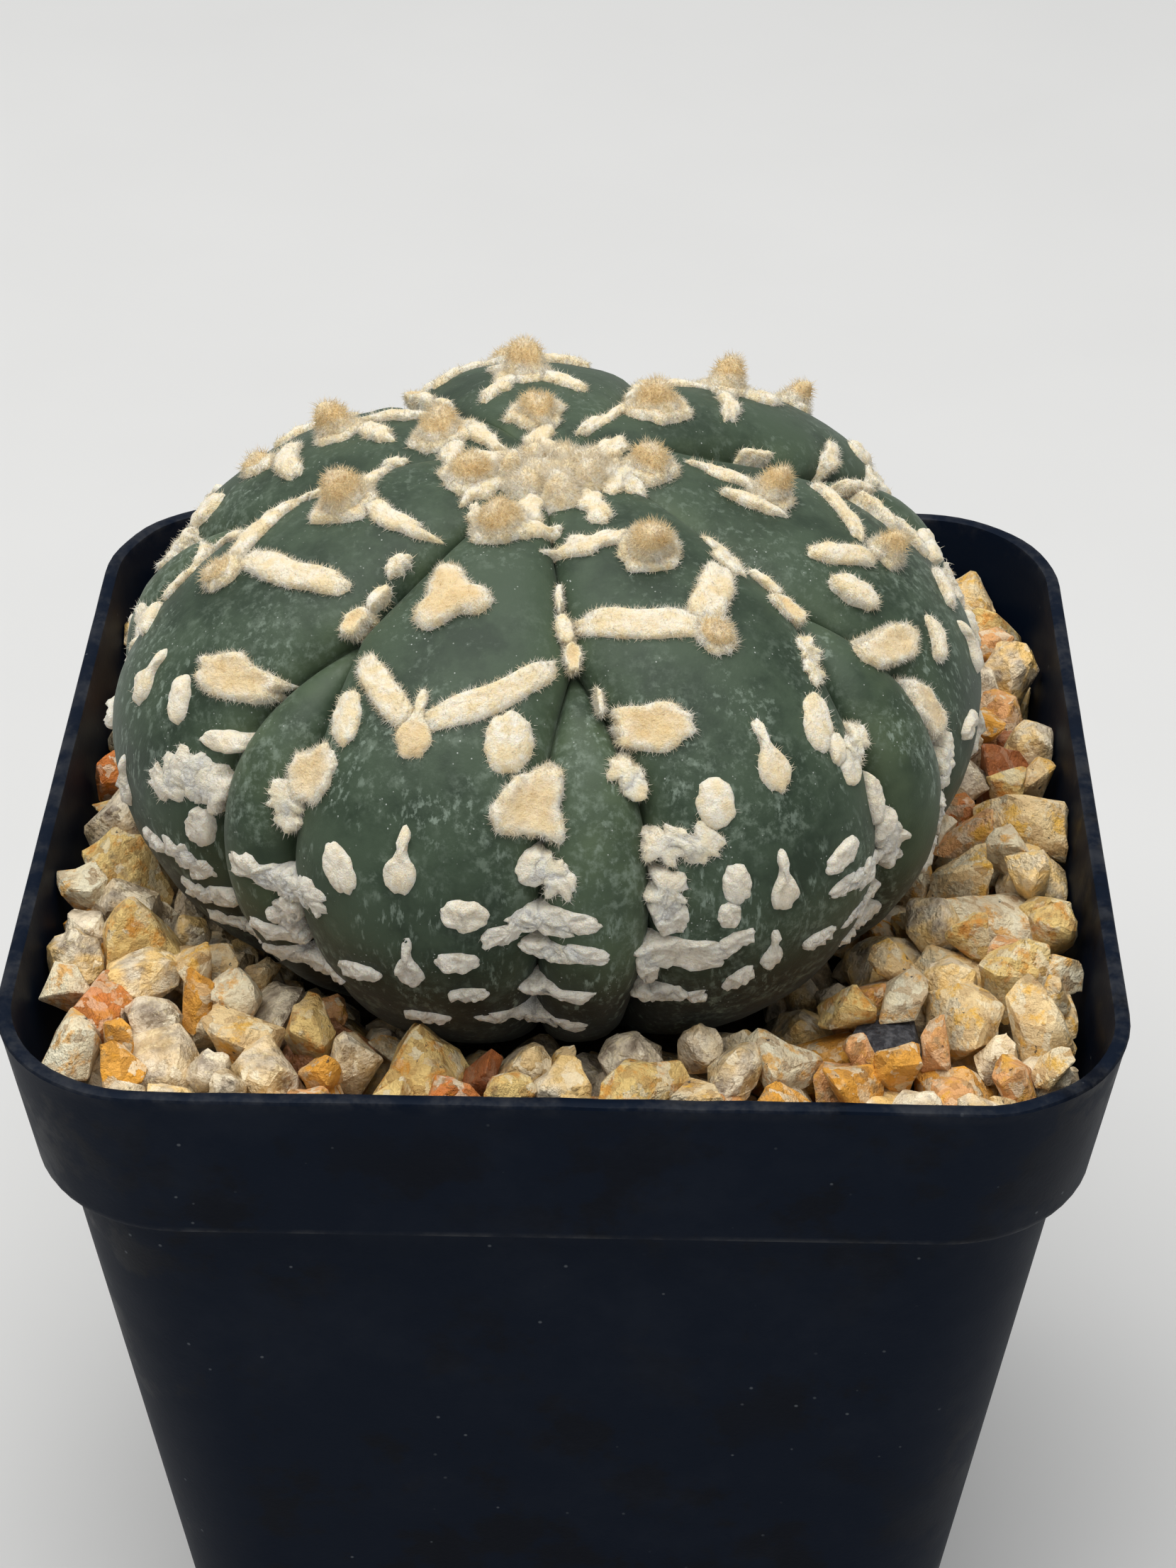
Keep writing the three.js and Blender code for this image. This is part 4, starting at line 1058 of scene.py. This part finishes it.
def stoneMesh(name, seed, angular):
    # the hull of a few scattered points, with chipped edges and a rough face
    rng = np.random.default_rng(seed)
    corners = rng.normal(size=(gritStones["corners"] if angular else gritStones["corners"] + 8, 3))
    corners *= rng.uniform(0.8, 1.0, (len(corners), 1)) / np.linalg.norm(corners, axis=1)[:, None]
    stone = bmesh.new()
    for corner in corners:
        stone.verts.new(corner)
    bmesh.ops.convex_hull(stone, input=stone.verts)
    bmesh.ops.delete(stone, geom=[v for v in stone.verts if not v.link_faces], context="VERTS")
    chip = gritStones["chip"] * (1 if angular else 1.7)
    bmesh.ops.bevel(stone, geom=stone.edges[:], offset=chip, segments=1, affect="EDGES", clamp_overlap=True)
    bmesh.ops.remove_doubles(stone, verts=stone.verts, dist=0.01)
    bmesh.ops.triangulate(stone, faces=stone.faces)
    bmesh.ops.subdivide_edges(stone, edges=[e for e in stone.edges if e.calc_length() > 0.42], cuts=1)
    bmesh.ops.triangulate(stone, faces=stone.faces)
    bmesh.ops.recalc_face_normals(stone, faces=stone.faces)
    points = np.array([v.co[:] for v in stone.verts])
    points = points * (1 + 0.09 * swells(points, 0.8, seed) + 0.05 * swells(points, 0.35, seed + 5))[:, None]
    points = points * np.array([1.16, 1.0, 0.86]) * rng.uniform(0.92, 1.08, 3)
    points /= np.linalg.norm(points, axis=1).mean()
    for vertex, point in zip(stone.verts, points):
        vertex.co = point
    mesh = bpy.data.meshes.new(name)
    stone.to_mesh(mesh)
    stone.free()
    mesh.shade_smooth()
    mesh.set_sharp_from_angle(angle=math.radians(24))
    return mesh


def clearOfWalls(x, y, z, size):
    half, corner = potSection(gritStones["wallLevel"])
    inset = potForm["wall"] + gritStones["wallGap"] + size * 0.82
    reach = half + (z - gritStones["wallLevel"]) * gritStones["wallSlope"] - inset
    corner = max(corner - inset, 1.0)
    outX = np.maximum(np.abs(x) - (reach - corner), 0)
    outY = np.maximum(np.abs(y) - (reach - corner), 0)
    return np.hypot(outX, outY) < corner


def clearOfPlant(x, y, z, size):
    away = np.hypot(x - plantForm["x"], y)
    polar = np.degrees(np.arctan2(away, z - plantForm["z"]))
    azimuth = np.degrees(np.arctan2(y, x - plantForm["x"]))
    surface = envelope(polar) - np.minimum(sunkAt(polar, azimuth), 1.0)
    return np.hypot(away, z - plantForm["z"]) - size * 0.9 > surface + gritStones["plantRoom"]


def stonePlaces():
    # drops stones into the pot one by one, each at the lowest of the places that it looks at
    rng = np.random.default_rng(gritStones["seed"])
    span = gritStones["largest"] - gritStones["smallest"]
    sizes = gritStones["smallest"] + span * rng.beta(1.4, 1.9, gritStones["count"])
    half = potForm["rimHalf"]
    kept = np.zeros((0, 4))
    for size in sizes:
        x, y = rng.uniform(-half, half, (2, gritStones["tries"]))
        z = np.full(len(x), gritStones["bed"])
        if len(kept):
            gap = np.hypot(x[:, None] - kept[:, 0], y[:, None] - kept[:, 1])
            meet = gritStones["closeness"] * (size + kept[:, 3])
            rest = kept[:, 2] + np.sqrt(np.maximum(meet ** 2 - gap ** 2, 0))
            z = np.maximum(z, np.where(gap < meet, rest, 0).max(1))
        room = clearOfWalls(x, y, z, size) & clearOfPlant(x, y, z, size)
        crest = gritStones["top"] - gritStones["backDrop"] * (y > 0)
        crest = crest + gritStones["waves"] * np.sin(x * 0.21 + 1.0)
        room &= z + size * 0.85 < crest
        if room.any():
            best = np.where(room, z, 1e3).argmin()
            kept = np.concatenate([kept, [(x[best], y[best], z[best], size)]])
    return kept


def flattenAtWalls(mesh):
    # a stone that would reach into the wall gets a flat side against it
    points = np.empty(len(mesh.vertices) * 3, np.float32)
    mesh.vertices.foreach_get("co", points)
    points = points.reshape(-1, 3)
    foot = potForm["height"] - potForm["collarHeight"]
    share = np.clip((points[:, 2] / mm - foot) / potForm["collarHeight"], 0, 1)
    half = potForm["collarFootHalf"] + (potForm["rimHalf"] - potForm["collarFootHalf"]) * share
    inset = potForm["wall"] + 0.08
    corner = potForm["rimCorner"] - inset
    straight = ((half - inset - corner) * mm)[:, None]
    flat = points[:, :2]
    over = np.maximum(np.abs(flat) - straight, 0)
    reach = np.linalg.norm(over, axis=1)[:, None]
    pull = np.minimum(1, corner * mm / np.maximum(reach, 1e-9))
    points[:, :2] = np.sign(flat) * (np.minimum(np.abs(flat), straight) + over * pull)
    mesh.vertices.foreach_set("co", points.ravel())
    mesh.update()


def gritRecipe():
    # sets a stone shape on every point, turned at random
    recipe = Recipe("grit", {"Stones": "collection", "Seed": "int", "Material": "material"})
    shapes = recipe.tree.nodes.new("GeometryNodeCollectionInfo")
    connect(recipe.tree, recipe.input("Stones"), shapes.inputs["Collection"])
    shapes.inputs["Separate Children"].default_value = True
    shapes.inputs["Reset Children"].default_value = True
    turn = recipe.random("FLOAT_VECTOR", (-3.1, -3.1, -3.1), (3.1, 3.1, 3.1), recipe.input("Seed"))
    size, pick = recipe.attribute("size"), recipe.attribute("shape", "INT")
    points = recipe.node("MeshToPoints", None, {"Mesh": recipe.input("Geometry")})
    sockets = {"Points": points, "Instance": Signal(recipe.tree, shapes.outputs[0]), "Pick Instance": True,
               "Instance Index": pick, "Rotation": turn, "Scale": size}
    planted = recipe.node("InstanceOnPoints", None, sockets)
    recipe.finish(planted, recipe.input("Material"))
    return recipe


gritColors = {
    # base colour by tone, where each begins
    "tones": [(0, (1, 0.74, 0.38, 1)), (0.2, (0.98, 0.5, 0.2, 1)), (0.36, (1, 0.88, 0.6, 1)),
              (0.56, (0.96, 0.45, 0.06, 1)), (0.7, (0.98, 0.7, 0.26, 1)), (0.9, (0.82, 0.25, 0.05, 1))],
    "glass": ((0.22, 0.14, 0.06, 1), (0.6, 0.42, 0.2, 1)),
    "brightCrystal": (1, 0.93, 0.7, 1), "darkCrystal": (0.34, 0.14, 0.025, 1), "grime": (0.5, 0.23, 0.05, 1),
    "stain": ((0.95, 0.52, 0.03, 1), (0.75, 0.25, 0.015, 1)), "speck": (0.045, 0.042, 0.045, 1),
    "smoke": ((0.25, 0.19, 0.13, 1), (0.78, 0.66, 0.48, 1)), "honey": (0.95, 0.62, 0.2, 1),
    "vein": (0.97, 0.8, 0.45, 1), "quartzCrystal": (0.92, 0.82, 0.6, 1),
    "rust": ((0.2, 0.05, 0.015, 1), (0.5, 0.15, 0.035, 1)), "rustFrom": 0.965,
    "slate": ((0.03, 0.032, 0.04, 1), (0.12, 0.125, 0.14, 1)), "slateFrom": 0.985,
}


def gritFinish():
    finish = Finish("grit", {"Specular IOR Level": 0.5, "Coat Roughness": 0.2})
    kind = finish.attribute("kind")
    tone = finish.attribute("tone")
    # crystals with bent outlines
    sockets = {"Vector": finish.spot, "Scale": 1 / (0.7 * mm), "Detail": 4.0}
    bend = finish.node("TexNoise", None, sockets, "Color")
    bent = finish.node("VectorMath", {"operation": "SCALE"}, {0: bend, "Scale": 1.1 * mm})
    bent = finish.node("VectorMath", {"operation": "ADD"}, {0: finish.spot, 1: bent})
    cells = finish.node("TexVoronoi", None, {"Vector": bent, "Scale": 1 / (0.75 * mm)}, "Color")
    crystal = finish.node("SeparateColor", None, {"Color": cells}, "Red")
    # granite: a base colour, glassy patches, crystals, grime, stains and specks
    ramp = {"stops": gritColors["tones"], "steps": "CONSTANT"}
    color = finish.node("ValToRGB", ramp, {"Fac": tone}, "Color")
    glass = finish.mix(*gritColors["glass"], finish.noise(0.9, 4, 0.6, 2.0))
    color = finish.mix(color, glass, finish.noise(1.9, 5, 0.65, 1.0).between(0.54, 0.64) * 0.75)
    color = finish.mix(color, gritColors["brightCrystal"], crystal.between(0.5, 1.0) * 0.65)
    color = finish.mix(color, gritColors["darkCrystal"], crystal.between(0.3, 0.05) * 0.45)
    grime = finish.noise(2.6, 5, 0.7, 15.0).between(0.46, 0.66)
    color = finish.mix(color, gritColors["grime"], grime * 0.35)
    stain = finish.noise(1.5, 5, 0.7, 5.0).between(0.5, 0.64)
    color = finish.mix(color, finish.mix(*gritColors["stain"], tone), stain * 0.75)
    specks = finish.noise(0.8, 3, 0.6, 12.0).between(0.68, 0.73)
    color = finish.mix(color, gritColors["speck"], specks * 0.9)
    # quartz: smoke and honey, with veins and a few crystals
    smoke = finish.mix(*gritColors["smoke"], finish.noise(1.6, 4, 0.6, 6.0).between(0.3, 0.65))
    honey = tone * finish.noise(2.4, 3, 0.6, 4.0).between(0.36, 0.6)
    smoke = finish.mix(smoke, gritColors["honey"], honey)
    veins = finish.noise(0.8, 5, 0.75, 8.0).between(0.53, 0.68)
    quartz = finish.mix(smoke, gritColors["vein"], veins * 0.6)
    quartz = finish.mix(quartz, gritColors["quartzCrystal"], crystal.between(0.6, 0.95) * 0.55)
    color = finish.mix(color, quartz, kind)
    # the last tones are rust and slate
    rust = finish.mix(*gritColors["rust"], finish.noise(0.9, 5, 0.7))
    rusty = tone.between(gritColors["rustFrom"], gritColors["rustFrom"] + 0.005)
    color = finish.mix(color, rust, rusty * 0.8)
    slate = finish.mix(*gritColors["slate"], finish.noise(0.5, 3, 0.6).between(0.4, 0.7))
    slaty = tone.between(gritColors["slateFrom"], gritColors["slateFrom"] + 0.002)
    color = finish.mix(color, slate, slaty)
    finish.feed("Base Color", color)
    finish.feed("Roughness", 0.62 - 0.32 * kind - 0.25 * crystal.between(0.6, 0.9))
    finish.feed("Coat Weight", 0.35 * kind)
    # every crystal leans its own way
    lean = finish.node("VectorMath", {"operation": "SUBTRACT"}, {0: cells, 1: (0.5, 0.5, 0.5)})
    facet = finish.node("VectorMath", {"operation": "DOT_PRODUCT"}, {0: lean, 1: finish.spot}, "Value")
    coarse = finish.noise(1.0, 6, 0.72) * (1 - 0.55 * kind) + facet * (0.9 / mm) + 0.3 * finish.noise(0.3, 3)
    finish.feed("Normal", finish.bump(coarse, 0.85, 1.0))
    return finish.material


def makeGrit():
    shelf = bpy.data.collections.new("stoneShapes")
    total = gritStones["granites"] + gritStones["quartzes"]
    for i in range(total):
        mesh = stoneMesh("stone%02d" % i, 100 + i, i < gritStones["granites"])
        shelf.objects.link(bpy.data.objects.new("stone%02d" % i, mesh))
    stones = stonePlaces()
    rng = np.random.default_rng(gritStones["seed"] + 1)
    buried = stones[:, 2] < gritStones["buried"]
    quartz = (rng.uniform(size=len(stones)) < gritStones["quartzShare"]) | buried
    tones = rng.uniform(size=len(stones))
    for x, y, tone in gritStones["marked"]:
        nearest = (np.hypot(stones[:, 0] - x, stones[:, 1] - y) + buried * 10).argmin()
        tones[nearest], quartz[nearest] = tone, False
    picks = np.where(quartz, rng.integers(gritStones["granites"], total, len(stones)),
                     rng.integers(gritStones["granites"], size=len(stones)))
    mesh = bpy.data.meshes.new("stonePlaces")
    mesh.from_pydata((stones[:, :3] * mm).tolist(), [], [])
    for name, values in {"size": stones[:, 3] * mm, "kind": quartz, "tone": tones}.items():
        layer = mesh.attributes.new(name, "FLOAT", "POINT")
        layer.data.foreach_set("value", values.astype(np.float32))
    mesh.attributes.new("shape", "INT", "POINT").data.foreach_set("value", picks.astype(np.int32))
    places = newPiece("stonePlaces", mesh)
    values = {"Stones": shelf, "Seed": gritStones["seed"], "Material": gritFinish()}
    grit = gritRecipe().run(places, "gritStones", values)
    bpy.data.objects.remove(places)
    for stone in list(shelf.objects):
        bpy.data.objects.remove(stone)
    bpy.data.collections.remove(shelf)
    flattenAtWalls(grit.data)
    print("stones:", len(stones))
    return grit


grit = makeGrit()
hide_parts("gravel")
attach(grit, "root")
print("grit:", len(grit.data.polygons), "faces")


soilColors = {"dark": (0.02, 0.013, 0.008, 1), "plain": (0.09, 0.055, 0.032, 1),
              "crumb": (0.3, 0.24, 0.16, 1)}


def soilFinish():
    finish = Finish("darkMix", {"Roughness": 0.95, "Specular IOR Level": 0.2})
    crumb = finish.noise(1.4, 6, 0.7)
    color = finish.mix(soilColors["dark"], soilColors["plain"], crumb.between(0.35, 0.7))
    pale = finish.cells(1.8).between(0.22, 0.1)
    finish.feed("Base Color", finish.mix(color, soilColors["crumb"], pale * 0.6))
    finish.feed("Normal", finish.bump(crumb, 0.8))
    return finish.material


soil = frame["nodes"]["soil"]
soil.data.materials.clear()
soil.data.materials.append(soilFinish())
for face in soil.data.polygons:
    face.material_index = 0
print("soil finished")

# The photograph's view: distance to the rim's middle, lens, and where the camera aims beside it.
view = {
    "distance": 240.35 * mm,
    "elevation": 34.995,
    "azimuth": 1.143,
    "roll": 0.209,
    "aside": (1.041 * mm, -0.923 * mm),
    "lens": 81.75,
    "sensor": 36.0,
}


def makeCamera():
    up, side, roll = (math.radians(view[key]) for key in ("elevation", "azimuth", "roll"))
    back = Vector((math.sin(side) * math.cos(up), -math.cos(side) * math.cos(up), math.sin(up)))
    right = Vector((0, 0, 1)).cross(back).normalized()
    high = back.cross(right)
    x, y = view["aside"]
    spot = Vector((0, 0, potForm["height"] * mm)) + back * view["distance"] + right * x + high * y
    rolledRight = right * math.cos(roll) + high * math.sin(roll)
    rolledHigh = high * math.cos(roll) - right * math.sin(roll)
    lens = bpy.data.cameras.new("view")
    lens.sensor_fit, lens.sensor_height, lens.lens = "VERTICAL", view["sensor"], view["lens"]
    lens.clip_start, lens.clip_end = 0.01, 20
    camera = bpy.data.objects.new("view", lens)
    camera.matrix_world = Matrix((
        (rolledRight.x, rolledHigh.x, back.x, spot.x),
        (rolledRight.y, rolledHigh.y, back.y, spot.y),
        (rolledRight.z, rolledHigh.z, back.z, spot.z),
        (0, 0, 0, 1),
    ))
    bpy.context.scene.collection.objects.link(camera)
    bpy.context.scene.camera = camera


# each lamp: where it hangs, its size, its power and its colour
lamps = {
    "skylight": {"at": (-0.08, -0.02, 0.8), "size": 0.85, "power": 9.4, "color": (1.0, 0.99, 0.97)},
    "fillFront": {"at": (0.3, -0.6, 0.35), "size": 0.4, "power": 0.5, "color": (0.97, 0.98, 1.0)},
}
sky = {"color": (0.95, 0.97, 1.0, 1), "strength": 0.45}
paper = {"radius": 3, "dark": (0.52, 0.52, 0.515, 1), "pale": (0.55, 0.55, 0.545, 1),
         "drop": 0.1 * mm}     # just clear of the pot's foot


def makeStage():
    bpy.ops.mesh.primitive_circle_add(vertices=96, radius=paper["radius"], fill_type="NGON")
    floor = bpy.context.object
    floor.name = "paleFloor"
    for vertex in floor.data.vertices:
        vertex.co.z = -paper["drop"]
    finish = Finish("palePaper", {"Roughness": 0.85, "Specular IOR Level": 0.2})
    finish.feed("Base Color", finish.mix(paper["dark"], paper["pale"], finish.noise(40, 3)))
    floor.data.materials.append(finish.material)
    world = bpy.data.worlds.new("softSky")
    world.use_nodes = True
    background = world.node_tree.nodes["Background"]
    background.inputs["Color"].default_value = sky["color"]
    background.inputs["Strength"].default_value = sky["strength"]
    bpy.context.scene.world = world
    aim = Vector((0, 0, potForm["height"] * mm))
    for name, lamp in lamps.items():
        light = bpy.data.lights.new(name, "AREA")
        light.shape, light.size = "SQUARE", lamp["size"]
        light.energy, light.color = lamp["power"], lamp["color"]
        holder = bpy.data.objects.new(name, light)
        holder.location = lamp["at"]
        holder.rotation_euler = (aim - holder.location).to_track_quat("-Z", "Y").to_euler()
        bpy.context.scene.collection.objects.link(holder)
    bpy.context.scene.view_settings.view_transform = "Standard"


makeCamera()
makeStage()
print("stage, lamps and camera ready")
